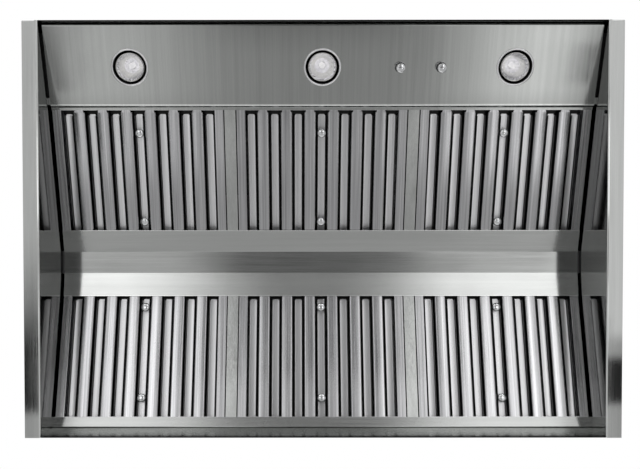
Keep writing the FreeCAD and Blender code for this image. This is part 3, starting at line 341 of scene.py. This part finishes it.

# Side walls: painted shade on their inner side, painted highlights along the bends at their foot.
WALL_PAINTED_SHADE_AND_HIGHLIGHTS = (
    painted_band(0.38, ("X", 0.0, INSIDE_WALL)),
    painted_band(1.45, ("X", INSIDE_WALL + WALL_FOOT, WALL_FOOT), WALL_FOOT_HEIGHTS),
    painted_band(1.45, ("X", -INSIDE_WALL - WALL_FOOT, WALL_FOOT), WALL_FOOT_HEIGHTS),
)
# Panel: painted highlights along its front bend and its rear ledge.
PANEL_PAINTED_HIGHLIGHTS = (
    painted_band(1.5, ("Y", PANEL_FRONT[0] + PANEL_EDGE, PANEL_EDGE)),
    painted_band(2.0, ("Y", PANEL_LEDGE_Y, PANEL_EDGE)),
)
# Ridge: painted highlights along the edges of its front and rear wings.
RIDGE_PAINTED_HIGHLIGHTS = (
    painted_band(1.5, ("Y", RIDGE_FRONT_Y, RIDGE_EDGE), RIDGE_HEIGHTS),
    painted_band(1.4, ("Y", RIDGE_REAR_Y, RIDGE_EDGE), RIDGE_HEIGHTS),
)
# End walls: a near-black rim and a darker foot inside the hood, painted shade.
END_WALL_PAINTED_SHADE = (
    painted_band(0.08, END_WALL_RIM),
    painted_band(0.4, END_WALL_FOOT, END_WALL_INSIDE),
)

STEEL_X = brushed_steel(
    "steel_grain_x", "x", (0.52, 0.53, 0.52), (0.62, 0.63, 0.62),
    roughness=(0.12, 0.18), anisotropy=0.92, painted_bands=RIDGE_PAINTED_HIGHLIGHTS)
PANEL_STEEL = brushed_steel(
    "steel_panel", "y", (0.38, 0.39, 0.38), (0.48, 0.49, 0.48),
    roughness=(0.08, 0.12), anisotropy=0.9, streak=0.00001, painted_bands=PANEL_PAINTED_HIGHLIGHTS, wipe=120.0,
    sloped=True)
STEEL_Y = brushed_steel(
    "steel_grain_y", "y", (0.46, 0.47, 0.46), (0.66, 0.67, 0.66),
    roughness=(0.13, 0.19), anisotropy=0.85)
WALL_STEEL = brushed_steel(
    "steel_side_walls", "y", (0.54, 0.55, 0.54), (0.68, 0.69, 0.68),
    roughness=(0.04, 0.08), anisotropy=0.5, painted_bands=WALL_PAINTED_SHADE_AND_HIGHLIGHTS)
# Darker copy of the steel for the end walls and the ridge beam: painted shade.
END_WALL_SHADE_STEEL = brushed_steel(
    "end_walls_painted_shade", "x", (0.29, 0.30, 0.29), (0.38, 0.39, 0.38),
    roughness=(0.20, 0.27), anisotropy=0.4, painted_bands=END_WALL_PAINTED_SHADE)
FILTER_STEEL = brushed_steel(
    "steel_filters", "y", (0.30, 0.30, 0.31), (0.82, 0.82, 0.83),
    roughness=(0.12, 0.19), anisotropy=0.8, wipe=200.0, sloped=True)
# Brighter copy of the filter steel for the strips behind the slots: painted light.
LIT_STRIP_STEEL = brushed_steel(
    "strips_painted_light", "x", (0.62, 0.62, 0.63), (0.97, 0.97, 0.98),
    roughness=(0.26, 0.34), anisotropy=0.9, lines="y", wipe=200.0, sloped=True)
# Near-black copies of the steel: painted shade on the filters' channel legs and necks, and on the
# panel's end brackets.
PAINTED_SHADE_STEEL, SHADED_STEEL = (
    brushed_steel(name, "y", (0.015, 0.015, 0.015), (0.03, 0.03, 0.03),
                  roughness=(0.3, 0.4), anisotropy=0.3)
    for name in ("filter_insides_painted_shade", "brackets_painted_shade"))
BEZEL_STEEL = bright_metal("satin_bezels", (0.96, 0.96, 0.97), roughness=0.26)
CHROME = bright_metal("bright_chrome", (0.86, 0.87, 0.88), roughness=0.05)
SCREW_STEEL = bright_metal("plated_screws", (0.66, 0.66, 0.64), roughness=0.16)
SHAFT_STEEL = bright_metal("ground_shafts", (0.60, 0.60, 0.61), roughness=0.12)
ZINC = zinc_steel()
BLACK = moulded_plastic(
    "black_plastic", (0.018, 0.018, 0.019), (0.032, 0.032, 0.033), roughness=0.38)
# Near-black enamel for the lamp cans, partly painted shade in the recess around each lens.
CAN_BLACK = moulded_plastic(
    "can_enamel_and_painted_shade", (0.010, 0.010, 0.011), (0.022, 0.022, 0.023), roughness=0.55)
MOTOR_PAINT = moulded_plastic(
    "motor_enamel", (0.030, 0.033, 0.038), (0.055, 0.060, 0.066), roughness=0.34)
GLOW = moulded_plastic(
    "lamp_filament_cup", (0.86, 0.86, 0.86), (0.94, 0.94, 0.93), roughness=0.30, glow=0.9)
CERAMIC = moulded_plastic(
    "lamp_ceramic", (0.70, 0.68, 0.63), (0.80, 0.79, 0.75), roughness=0.30)
LENS = lamp_glass()
REFLECTOR = lamp_reflector()


def nodes_of(kind, places):
    """Names of the CAD nodes of one kind, one for each place."""
    return tuple(f"{kind}_{place}" for place in places)


NODE_MATERIALS = {
    STEEL_X: ("top_panel", "center_ridge", "front_grease_trough", "rear_grease_trough"),
    PANEL_STEEL: ("control_panel",),
    SHADED_STEEL: ("panel_end_brackets",),
    END_WALL_SHADE_STEEL: ("front_wall", "rear_wall", "ridge_beam"),
    WALL_STEEL: ("left_side_wall", "right_side_wall"),
    STEEL_Y: ("filter_dividers",),
    FILTER_STEEL: nodes_of("frame", FILTERS) + nodes_of("baffles", FILTERS),
    BEZEL_STEEL: nodes_of("lamp_trim", SIDES),
    CHROME: ("fan_knob", "light_knob") + nodes_of("handles", FILTERS),
    LENS: nodes_of("lamp_bulb", SIDES),
    CERAMIC: ("lamp_sockets",),
    ZINC: ("blower_box", "blower_box_lid", "duct_collar", "damper_flap_front",
           "damper_flap_rear", "scroll_housing", "inlet_rings", "blower_wheel", "motor_bracket",
           "hanging_brackets", "junction_box", "junction_box_cover"),
    SHAFT_STEEL: ("fan_control_shaft", "light_control_shaft", "blower_shaft", "damper_rod"),
    SCREW_STEEL: ("housing_screws",),
    BLACK: ("rotary_controls", "supply_bushing"),
    MOTOR_PAINT: ("motor_casing",),
}
SHARP_SHEETS = ("control_panel", "front_wall", "rear_wall")   # thin folds that keep sharp edges
EDGE_WIDTH = 0.25
EDGE_ANGLE = 50.0                           # sharper bends than this get a bevel
WELD_DISTANCE = 0.01


def soften_edges(node):
    weld = node.modifiers.new("weld", "WELD")
    weld.merge_threshold = WELD_DISTANCE * MM
    bevel = node.modifiers.new("edges", "BEVEL")
    bevel.width = EDGE_WIDTH * MM
    bevel.segments = 2
    bevel.limit_method = "ANGLE"
    bevel.angle_limit = math.radians(EDGE_ANGLE)
    bevel.harden_normals = False


def dress_cad_nodes():
    """Give every CAD node its material, and all but the sharp sheets fine bevels."""
    for material, names in NODE_MATERIALS.items():
        for name in names:
            node = cad[name]
            node.data.materials.clear()
            node.data.materials.append(material)
            if name not in SHARP_SHEETS:
                soften_edges(node)


# --- mesh helpers -----------------------------------------------------------------------
ON_AXIS = 1e-6


def add_object(name, data):
    """Put a new object with this data into the scene."""
    added = bpy.data.objects.new(name, data)
    bpy.context.scene.collection.objects.link(added)
    return added


def mesh_data(name, mesh):
    """Turn a bmesh into mesh data and free it."""
    data = bpy.data.meshes.new(name)
    mesh.to_mesh(data)
    mesh.free()
    return data


def moved(x, y, z):
    """Translation by a distance in millimetres."""
    return Matrix.Translation(Vector((x, y, z)) * MM)


def finish_piece(name, mesh, material, body, place=None, smooth=40.0):
    """Turn a bmesh in millimetres into an object that rides on a CAD body.

    Edges that bend by less than smooth degrees are shaded round.
    """
    bmesh.ops.recalc_face_normals(mesh, faces=mesh.faces)
    data = mesh_data(name, mesh)
    data.transform(Matrix.Scale(MM, 4))
    data.polygons.foreach_set("use_smooth", [True] * len(data.polygons))
    data.set_sharp_from_angle(angle=math.radians(smooth))
    data.materials.append(material)
    piece = add_object(name, data)
    if place is not None:
        data.transform(place)
    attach(piece, body)
    return piece


def fillet_path(points, radii, steps=5):
    """An open polyline whose inner corners are replaced by arcs of the given radii."""
    path = [Vector(points[0])]
    for before, corner, after, radius in zip(points, points[1:], points[2:], radii):
        before, corner, after = Vector(before), Vector(corner), Vector(after)
        inward = (before - corner).normalized()
        outward = (after - corner).normalized()
        half = inward.angle(outward) / 2
        reach = radius / math.tan(half)
        centre = corner + (inward + outward).normalized() * (radius / math.sin(half))
        first = corner + inward * reach - centre
        last = corner + outward * reach - centre
        turn = first.angle_signed(last)
        for step in range(steps + 1):
            path.append(centre + Matrix.Rotation(-turn * step / steps, 2) @ first)
    path.append(Vector(points[-1]))
    return path


def sheet_outline(path, thickness):
    """Closed outline of a sheet of even thickness along a centre line."""
    left, right = [], []
    for index, point in enumerate(path):
        before = path[max(index - 1, 0)]
        after = path[min(index + 1, len(path) - 1)]
        along = (after - before).normalized()
        normal = Vector((-along.y, along.x)) * thickness / 2
        left.append(point + normal)
        right.append(point - normal)
    return left + right[::-1]


def rectangle(half, low, high):
    """Outline from -half to half in X and from low to high in Y."""
    return [(-half, low), (half, low), (half, high), (-half, high)]


def side_faces(mesh, lower, upper):
    """The faces between two closed rings with as many points."""
    corners = zip(lower, lower[1:] + lower[:1], upper[1:] + upper[:1], upper)
    return [mesh.faces.new(four) for four in corners]


def channel(mesh, outline, start, end, shift, inside, slot=0):
    """A sheet outline in X and Z drawn along Y; faces that pass the inside test get the near-black
    slot, painted shade.
    """
    rings = [[mesh.verts.new((shift + x, y, z)) for x, z in outline] for y in (start, end)]
    faces = side_faces(mesh, *rings)
    for ring in rings:
        back = ring[::-1]
        for index in range(len(ring) // 2 - 1):
            corners = (ring[index], ring[index + 1], back[index + 1], back[index])
            faces.append(mesh.faces.new(corners))
    for face in faces:
        face.material_index = SHADE_SLOT if inside(face.calc_center_median()) else slot


def plate(mesh, outline, low, high, shift=0.0, slot=0):
    """A flat plate from an outline in X and Y."""
    rings = [[mesh.verts.new((shift + x, y, z)) for x, y in outline] for z in (low, high)]
    faces = [mesh.faces.new(rings[0][::-1]), mesh.faces.new(rings[1])]
    faces += side_faces(mesh, *rings)
    for face in faces:
        face.material_index = slot


def lathe(mesh, profile, segments, y=0.0):
    """Revolve a (radius, height) profile about an upright axis at Y; its points there are merged."""
    rings = []
    for radius, height in profile:
        if radius < ON_AXIS:
            rings.append([mesh.verts.new((0.0, y, height))])
            continue
        angles = [2 * math.pi * index / segments for index in range(segments)]
        rings.append([mesh.verts.new((radius * math.cos(angle), y + radius * math.sin(angle), height))
                      for angle in angles])
    for lower, upper in zip(rings, rings[1:]):
        for index in range(segments):
            after = (index + 1) % segments
            corners = [lower[index % len(lower)], lower[after % len(lower)],
                       upper[after % len(upper)], upper[index % len(upper)]]
            unique = list(dict.fromkeys(corners))
            if len(unique) > 2:
                mesh.faces.new(unique)


def turned_piece(name, profile, segments, material, body, place, smooth=40.0):
    """A piece turned from one profile."""
    mesh = bmesh.new()
    lathe(mesh, profile, segments)
    return finish_piece(name, mesh, material, body, place, smooth)


def filter_place(bank, x):
    """Frame of one filter, whose local Y runs from its front end to its rear end."""
    tilt = Matrix.Rotation(FILTER_TILT, 4, "X")
    if bank == "front":
        return moved(x, *FRONT_LEDGE) @ tilt
    turn = Matrix.Rotation(math.pi, 4, "Z")
    return moved(x, *REAR_LEDGE) @ turn @ tilt @ moved(0.0, FILTER_LENGTH + 2 * FILTER_HEAD, 0.0) @ turn


def panel_place(x):
    """Frame of a fitting on the control panel, whose local Z points into the hood."""
    slope = Matrix.Rotation(PANEL_ANGLE, 4, "X")
    return moved(x, *PANEL_FRONT) @ slope @ moved(0.0, FITTING_ALONG, 0.0)


# --- filters ----------------------------------------------------------------------------
# Slot 1 is near-black steel, painted shade on the channels' legs and necks; slot 2 is brighter steel,
# painted light on the strips.
SHADE_SLOT, STRIP = 1, 2                        # material slots of the filters' channels
SHEET = 1.0
END_GAP = 1.2                               # between a channel and the filter's end
NECK_GAP = 0.6                              # beside the plate at a slot's front end
HANDLE_PROFILE = [
    (0.0, 0.4), (2.6, 0.5), (5.0, 0.9), (7.0, 1.7), (8.5, 2.9), (9.3, 4.2), (9.45, 5.2), (9.0, 6.2),
    (7.6, 7.0), (5.4, 7.4), (4.1, 7.9), (3.5, 8.8), (3.5, 16.0), (4.6, 16.6), (4.6, 17.3),
    (0.0, 17.3)]


def front_channel(mesh, x):
    """Land with rounded bends, legs that go back and lips behind the slots."""
    low = FILTER_HEAD + HEAD_RAIL
    high = FILTER_HEAD + FILTER_LENGTH - TAIL_RAIL
    notch = 5.0
    chamfer = 2.0
    ear = 1.6
    tuck = 8.0
    face = 1.6
    back = 24.6
    bend = 3.2
    lip_bend = 0.9
    side = LAND_HALF - SHEET / 2
    lip = LAND_HALF + 4.8
    line = [(-lip, back), (-side, back), (-side, face), (side, face), (side, back), (lip, back)]
    path = fillet_path(line, (lip_bend, bend, bend, lip_bend))
    # The legs and lips behind the land get the near-black slot: painted shade.
    channel(mesh, sheet_outline(path, SHEET), low + notch, high, x,
            lambda centre: centre.z > face + 0.55 * bend)
    inner = side - bend + SHEET / 2
    tab = inner - ear
    faces = (face - SHEET / 2, face + SHEET / 2)
    plate(mesh, [(-tab, low - tuck), (tab, low - tuck), (tab, low), (inner, low + chamfer),
                 (inner, low + notch), (-inner, low + notch), (-inner, low + chamfer), (-tab, low)],
          *faces, x)
    plate(mesh, rectangle(inner, high, high + tuck), *faces, x)


def rear_channel(mesh, x, bank):
    """Channel behind a slot, open to the cook, with a round-shouldered narrow front end."""
    start = FILTER_HEAD + SHOULDERS[bank]
    end = FILTER_HEAD + FILTER_LENGTH - END_GAP
    half = 8.66
    front = 6.6
    face = 18.0
    bend = 2.2
    path = fillet_path([(-half, front), (-half, face), (half, face), (half, front)], (bend, bend))
    # The face gets the brighter strip steel, painted light; the legs get the near-black slot, painted
    # shade.
    channel(mesh, sheet_outline(path, SHEET), start, end, x,
            lambda centre: centre.z < face - 0.6 * bend, STRIP)
    tab = 4.5
    shoulder = half - bend
    rise = 2.6
    steps = 6
    faces = (face - SHEET / 2, face + SHEET / 2)
    outline = [(tab, start - rise)]
    for step in range(1, steps + 1):
        angle = math.pi / 2 * step / steps
        across = tab + (shoulder - tab) * math.sin(angle)
        outline.append((across, start - rise * math.cos(angle)))
    outline += [(-across, along) for across, along in outline[::-1]]
    plate(mesh, outline, *faces, x, STRIP)
    # The neck is near-black steel, painted shade.
    neck = rectangle(LAND_HALF - NECK_GAP, FILTER_HEAD + END_GAP, start - rise)
    plate(mesh, neck, *faces, x, SHADE_SLOT)


def build_baffles(bank, side, x):
    """The channels of one filter, in place of its plainer baffles."""
    mesh = bmesh.new()
    middle = (SLOTS - 1) / 2
    for index in range(SLOTS):
        rear_channel(mesh, (index - middle) * SLOT_PITCH, bank)
    for index in range(SLOTS - 1):
        front_channel(mesh, (index - middle + 0.5) * SLOT_PITCH)
    name = f"{bank}_{side}"
    place = filter_place(bank, x)
    piece = finish_piece("channels_" + name, mesh, FILTER_STEEL, "filter_" + name, place)
    # Slots 1 and 2: the near-black painted-shade steel and the brighter painted-light strip steel.
    for material in (PAINTED_SHADE_STEEL, LIT_STRIP_STEEL):
        piece.data.materials.append(material)
    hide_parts("baffles_" + name)


def build_handles(bank, side, x):
    """Two domed knobs on stems in the middle slot."""
    mesh = bmesh.new()
    for along in (HANDLE_HEAD_INSET, FILTER_LENGTH - HANDLE_TAIL_INSET):
        lathe(mesh, HANDLE_PROFILE, 40, FILTER_HEAD + along)
    name = f"{bank}_{side}"
    place = filter_place(bank, x)
    piece = finish_piece("pulls_" + name, mesh, CHROME, "filter_" + name, place, smooth=50.0)
    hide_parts("handles_" + name)


# --- lamps and knobs --------------------------------------------------------------------
BEZEL_PROFILE = [
    (34.9, 3.5), (34.9, -0.9), (35.2, -1.5), (35.8, -1.9), (36.6, -2.0), (37.5, -1.8), (38.3, -1.3),
    (38.8, -0.7), (39.0, -0.15), (35.5, -0.15), (35.5, 3.5), (34.9, 3.5)]
CAN_PROFILE = [
    (34.8, 0.2), (35.5, 3.6), (35.5, 72.4), (34.0, 74.0), (12.0, 74.0), (12.0, 73.2), (33.6, 73.2),
    (34.7, 72.0), (34.7, 0.2), (34.8, 0.2)]
BULB_PROFILE = [
    (27.7, 2.4), (28.2, 1.8), (29.2, 1.6), (29.9, 2.2), (30.0, 3.0), (30.0, 7.4), (28.0, 13.0),
    (22.0, 30.0), (15.5, 45.0), (13.0, 53.0), (11.0, 54.0), (11.0, 73.8), (0.0, 73.8), (0.0, 34.0),
    (9.0, 34.0), (28.0, 4.0), (27.7, 2.4)]
EMITTER_PROFILE = [
    (0.0, 13.0), (2.6, 13.6), (4.6, 15.2), (5.4, 17.6), (5.4, 24.0), (6.4, 25.0), (6.4, 32.8),
    (0.0, 32.8)]
GLASS_RADIUS = 27.6
KNOB_PROFILE = [
    (3.1, -0.8), (10.8, -0.8), (11.0, -1.1), (11.0, -2.6), (10.7, -3.0), (10.1, -3.4), (9.9, -4.2),
    (9.6, -14.6), (9.4, -15.5), (8.9, -16.3), (8.1, -16.8), (7.2, -16.9), (6.6, -16.7),
    (6.0, -16.9), (4.5, -17.3), (3.0, -17.55), (1.5, -17.68), (0.0, -17.72), (0.0, -12.8),
    (3.1, -12.8), (3.1, -0.8)]
# The grip is black plastic whose black also stands in for the shade on the knob's side.
GRIP_SLOT = 1                               # material slot of a knob's grip
GRIP_HEIGHTS = (-14.6, -3.0)
GRIP_RADIUS = 8.0                           # the grip's faces lie outside it, the bore's inside
POINTER_OUTLINE = [
    (0.5, -1.8), (0.5, -8.2), (0.35, -8.6), (0.0, -8.75), (-0.35, -8.6), (-0.5, -8.2),
    (-0.5, -1.8), (-0.35, -1.5), (0.0, -1.4), (0.35, -1.5)]
POINTER_HEIGHTS = (-17.78, -17.3)
# Cross-section of the black bead that is a painted shadow line along the ridge's seam.
SHADOW_BEAD_PROFILE = [
    (0.1, -0.1), (0.1, -2.0), (0.8, -2.5), (1.9, -2.7), (3.0, -2.5), (3.8, -2.0), (3.8, -0.1)]


def reflector_profile(steps=14, rim=3.2, depth=30.0, neck=8.0, top=33.0):
    """A parabolic bowl with a flat top above the filament cup."""
    bowl = []
    for step in range(steps + 1):
        radius = GLASS_RADIUS - (GLASS_RADIUS - neck) * step / steps
        bowl.append((radius, rim + depth * (1 - (radius / GLASS_RADIUS) ** 2)))
    return bowl + [(neck, top), (0.0, top)]


def lens_profile(steps=9, front=1.5, crown=0.9):
    """A round glass with a slightly crowned front face."""
    face = [(0.0, front)]
    for step in range(1, steps + 1):
        face.append((GLASS_RADIUS * step / steps, front + crown * (step / steps) ** 2))
    return face + [(GLASS_RADIUS, 3.2), (18.0, 2.9), (9.0, 2.6), (0.0, 2.5)]


def build_lamp(side, x):
    """Bezel, can, reflector, bulb, lens and filament cup of one lamp."""
    place = panel_place(x)
    bezel = turned_piece("bezel_" + side, BEZEL_PROFILE, 96, BEZEL_STEEL, "liner", place, smooth=60.0)
    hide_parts("lamp_trim_" + side)

    # The can's near-black enamel is partly painted shade in the lamp's recess.
    can = turned_piece("can_" + side, CAN_PROFILE, 64, CAN_BLACK, "liner", place)

    bowl = reflector_profile()
    reflector = turned_piece("reflector_" + side, bowl, 72, REFLECTOR, "liner", place)

    body = turned_piece("bulb_body_" + side, BULB_PROFILE, 72, SCREW_STEEL, "liner", place)

    glass = turned_piece("lens_" + side, lens_profile(), 72, LENS, "liner", place)
    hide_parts("lamp_bulb_" + side)

    emitter = turned_piece("emitter_" + side, EMITTER_PROFILE, 32, GLOW, "liner", place)


def build_knob(name, body, node, x):
    """Turned knob with a skirt, a slightly tapered black grip and a pointer line on its face; the
    grip's black is partly painted shade on the knob's side.
    """
    place = panel_place(x)
    mesh = bmesh.new()
    lathe(mesh, KNOB_PROFILE, 72)
    for face in mesh.faces:
        centre = face.calc_center_median()
        in_grip = GRIP_HEIGHTS[0] < centre.z < GRIP_HEIGHTS[1]
        if in_grip and centre.xy.length > GRIP_RADIUS:
            face.material_index = GRIP_SLOT
    knob = finish_piece(name, mesh, CHROME, body, place, smooth=35.0)
    knob.data.materials.append(BLACK)
    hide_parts(node)
    mesh = bmesh.new()
    plate(mesh, POINTER_OUTLINE, *POINTER_HEIGHTS)
    pointer = finish_piece(name + "_pointer", mesh, BLACK, body, place)


def build_ridge_shadow_bead(side, x):
    """Black bead in the seam between the ridge's flat and a side wall, a painted shadow line along that
    seam.
    """
    ridge = cad["center_ridge"]
    top = max((ridge.matrix_world @ Vector(corner)).z for corner in ridge.bound_box) / MM
    inward = -1.0 if x > 0.0 else 1.0
    mesh = bmesh.new()
    rings = [[mesh.verts.new((x + inward * across, y, top + height)) for across, height in SHADOW_BEAD_PROFILE]
             for y in RIDGE_FLAT_Y]
    side_faces(mesh, *rings)
    for ring in rings:
        mesh.faces.new(ring)
    shadow_bead = finish_piece("ridge_shadow_bead_" + side, mesh, BLACK, "liner")


# --- floor and world --------------------------------------------------------------------
FLOOR_Z = -3.0
FLOOR_HALF = 30.0
WORLD_SEEN = 1.0                            # strength to the eye and in reflections
WORLD_LIGHT = 0.14                          # strength as a source of light


def build_floor():
    """Plain pale floor, well below the hood."""
    mesh = bmesh.new()
    bmesh.ops.create_grid(mesh, x_segments=2, y_segments=2, size=FLOOR_HALF)
    floor = add_object("floor", mesh_data("floor", mesh))
    floor.location.z = FLOOR_Z
    shader = Shader("pale_floor")
    speckle = shader.noise(3.0, detail=5.0)
    colour = shader.colours(speckle, (0.74, 0.74, 0.74), (0.78, 0.78, 0.78))
    shader.feed(colour, "Base Color")
    shader.set(Roughness=0.9)
    floor.data.materials.append(shader.material)


def build_world():
    """White to the eye and in reflections, dimmer as a source of light."""
    world = bpy.data.worlds.new("studio")
    bpy.context.scene.world = world
    world.use_nodes = True
    tree = world.node_tree
    path = tree.nodes.new("ShaderNodeLightPath")
    rays = ("Is Camera Ray", "Is Glossy Ray", "Is Transmission Ray")
    seen = combine(tree, "MAXIMUM", [path.outputs[name] for name in rays])
    strength = tree.nodes.new("ShaderNodeMapRange")
    strength.inputs["To Min"].default_value = WORLD_LIGHT
    strength.inputs["To Max"].default_value = WORLD_SEEN
    tree.links.new(seen, strength.inputs["Value"])
    background = tree.nodes["Background"]
    tree.links.new(strength.outputs["Result"], background.inputs["Strength"])
    background.inputs["Color"].default_value = (1.0, 1.0, 1.0, 1.0)


# --- lights -----------------------------------------------------------------------------
SOFTBOX_Z = -2.3
CARD_Z = -2.26
SUN_STRENGTH = 1.05
SUN_SPREAD = 9.0
SUN_LEAN = 8.0
TALL_TARGET = (0.0, 0.0, 0.1)

# Level softboxes below the hood: name, lowest and highest corner, widths of the fades at the
# left, right, front and rear edge, and radiance.
SOFTBOXES = (
    ("front_left_softbox", (-1.34, -1.25), (-0.10, 0.0), (0.06, 1.0, 0.45, 0.15), 1.38),
    ("front_right_softbox", (0.10, -1.25), (1.46, 0.0), (1.0, 0.08, 0.45, 0.15), 1.36),
    ("left_softbox", (-2.10, -1.35), (-1.20, 0.40), (0.1, 0.1, 0.1, 0.4), 0.20),
    ("right_softbox", (1.25, -1.35), (2.15, 0.65), (0.1, 0.1, 0.1, 0.1), 0.36),
    ("rear_left_softbox", (-1.36, 0.50), (-0.25, 1.30), (0.06, 1.0, 0.1, 0.35), 0.50),
    ("rear_right_softbox", (0.55, 0.50), (1.50, 1.30), (0.80, 0.06, 0.1, 0.35), 1.00),
)
# Softboxes that stand around the hood: name, middle, size and radiance.
TALL_SOFTBOXES = (
    ("tall_left_softbox", (-2.4, -4.5, -1.7), (3.2, 2.4), 1.1),
    ("tall_right_softbox", (2.4, -4.5, -1.7), (3.2, 2.4), 1.3),
    ("tall_rear_softbox", (0.0, 4.8, -1.2), (7.0, 2.0), 0.9),
)
# Level dark cards and nets: name, corners and fades as above, and opacity.
CARDS = (
    ("flange_card_left", (-2.0, 0.25), (-1.315, 0.985), (0.05, 0.02, 0.48, 0.03), 1.0),
    ("flange_card_right", (1.43, 0.67), (2.2, 0.94), (0.03, 0.05, 0.05, 0.03), 1.0),
    ("camera_net", (-0.60, 0.02), (0.70, 0.42), (0.3, 0.3, 0.08, 0.08), 0.72),
    ("front_net", (-0.75, -1.35), (0.80, -0.38), (0.45, 0.45, 0.1, 0.1), 0.48),
)


def area_light(name, place, target, size, radiance):
    """Rectangular light that shines from a place to a target and hides from the camera."""
    light = bpy.data.lights.new(name, "AREA")
    light.shape = "RECTANGLE"
    light.size, light.size_y = size
    light.energy = radiance * math.pi * size[0] * size[1]
    lamp = add_object(name, light)
    lamp.location = place
    lamp.rotation_euler = (Vector(target) - Vector(place)).to_track_quat("-Z", "Y").to_euler()
    lamp.visible_camera = False
    return lamp


def edge_fade(tree, low, high, fades):
    """1 inside a level rectangle, falling to 0 at its left, right, front and rear edges."""
    geometry = tree.nodes.new("ShaderNodeNewGeometry")
    axes = tree.nodes.new("ShaderNodeSeparateXYZ")
    tree.links.new(geometry.outputs["Position"], axes.inputs["Vector"])
    left, right, front, rear = fades
    edges = (("X", low[0], low[0] + left), ("X", high[0], high[0] - right),
             ("Y", low[1], low[1] + front), ("Y", high[1], high[1] - rear))
    falls = []
    for axis, edge, inner in edges:
        ramp = tree.nodes.new("ShaderNodeMapRange")
        ramp.interpolation_type = "SMOOTHSTEP"
        ramp.inputs["From Min"].default_value = edge
        ramp.inputs["From Max"].default_value = inner
        tree.links.new(axes.outputs[axis], ramp.inputs["Value"])
        falls.append(ramp.outputs["Result"])
    return combine(tree, "MULTIPLY", falls)


def build_softbox(name, low, high, fades, radiance):
    """Level softbox below the hood, shining up, that fades out towards its edges."""
    size = (high[0] - low[0], high[1] - low[1])
    x, y = (low[0] + high[0]) / 2, (low[1] + high[1]) / 2
    lamp = area_light(name, (x, y, SOFTBOX_Z), (x, y, 0.0), size, radiance)
    lamp.data.use_nodes = True
    tree = lamp.data.node_tree
    tree.links.new(edge_fade(tree, low, high, fades), tree.nodes["Emission"].inputs["Strength"])


def build_card(name, low, high, fades, opacity):
    """Level dark card or net below the hood, which only the steel's reflections show."""
    mesh = bmesh.new()
    corners = (low, (high[0], low[1]), high, (low[0], high[1]))
    mesh.faces.new([mesh.verts.new((x, y, CARD_Z)) for x, y in corners])
    card = add_object(name, mesh_data(name, mesh))
    card.visible_camera = False
    card.visible_diffuse = False
    card.visible_shadow = False
    shader = Shader(name)
    weave = shader.noise(200.0)
    colour = shader.colours(weave, (0.010, 0.010, 0.010), (0.018, 0.018, 0.018))
    shader.feed(colour, "Base Color")
    shader.set(Roughness=0.95)
    share = shader.node("Math", operation="MULTIPLY")
    share.inputs[1].default_value = opacity
    shader.link(edge_fade(shader.tree, low, high, fades), share.inputs[0])
    mix = shader.node("MixShader")
    shader.link(share.outputs[0], mix.inputs[0])
    shader.link(shader.node("BsdfTransparent").outputs[0], mix.inputs[1])
    shader.link(shader.surface.outputs[0], mix.inputs[2])
    shader.link(mix.outputs[0], shader.tree.nodes["Material Output"].inputs["Surface"])
    card.data.materials.append(shader.material)


def build_sun():
    """Overhead light for the floor, which the steel doesn't mirror."""
    sun = bpy.data.lights.new("sky", "SUN")
    sun.energy = SUN_STRENGTH
    sun.angle = math.radians(SUN_SPREAD)
    lamp = add_object("sky", sun)
    lamp.rotation_euler = (math.radians(SUN_LEAN), 0.0, 0.0)
    lamp.visible_glossy = False


def build_lights():
    """The sun, the softboxes, and the dark cards between them and the hood."""
    build_sun()
    for row in SOFTBOXES:
        build_softbox(*row)
    for name, place, size, radiance in TALL_SOFTBOXES:
        area_light(name, place, TALL_TARGET, size, radiance)
    for row in CARDS:
        build_card(*row)


# --- camera -----------------------------------------------------------------------------
PIXELS = (640.0, 469.0)                     # size of the picture
SENSOR = 36.0
FOCAL_PIXELS = 773.2
PRINCIPAL = (297.5, 226.4)                  # the pixel on the lens axis, from the top left
CAMERA_PLACE = (-0.0498, -0.0418, -1.57)
CAMERA_TURN = (1.256, 0.077, -0.043)        # degrees about X, Y and Z


def build_camera():
    """Straight up from below; the top of the picture is the hood's front."""
    data = bpy.data.cameras.new("camera")
    data.sensor_width = SENSOR
    data.lens = FOCAL_PIXELS / PIXELS[0] * SENSOR
    data.shift_x = (PIXELS[0] / 2 - PRINCIPAL[0]) / PIXELS[0]
    data.shift_y = (PRINCIPAL[1] - PIXELS[1] / 2) / PIXELS[0]
    data.clip_start = 0.01
    camera = add_object("camera", data)
    turn_x, turn_y, turn_z = (Matrix.Rotation(math.radians(angle), 3, axis)
                              for angle, axis in zip(CAMERA_TURN, "XYZ"))
    right, down, ahead = turn_z @ turn_y @ turn_x
    axes = Matrix((right, -down, -ahead)).transposed().to_4x4()
    camera.matrix_world = Matrix.Translation(CAMERA_PLACE) @ axes
    bpy.context.scene.camera = camera


# --- build ------------------------------------------------------------------------------
build_camera()
dress_cad_nodes()
for bank in BANKS:
    for side, x in zip(SIDES, FILTER_X):
        build_baffles(bank, side, x)
        build_handles(bank, side, x)
for side, x in zip(SIDES, LAMP_X):
    build_lamp(side, x)
build_knob("fan_knob_turned", "fan_knob_body", "fan_knob", FAN_KNOB_X)
build_knob("light_knob_turned", "light_knob_body", "light_knob", LIGHT_KNOB_X)
build_ridge_shadow_bead("left", -INSIDE_WALL)
build_ridge_shadow_bead("right", INSIDE_WALL)
build_floor()
build_world()
build_lights()
bpy.context.scene.view_settings.view_transform = "Standard"
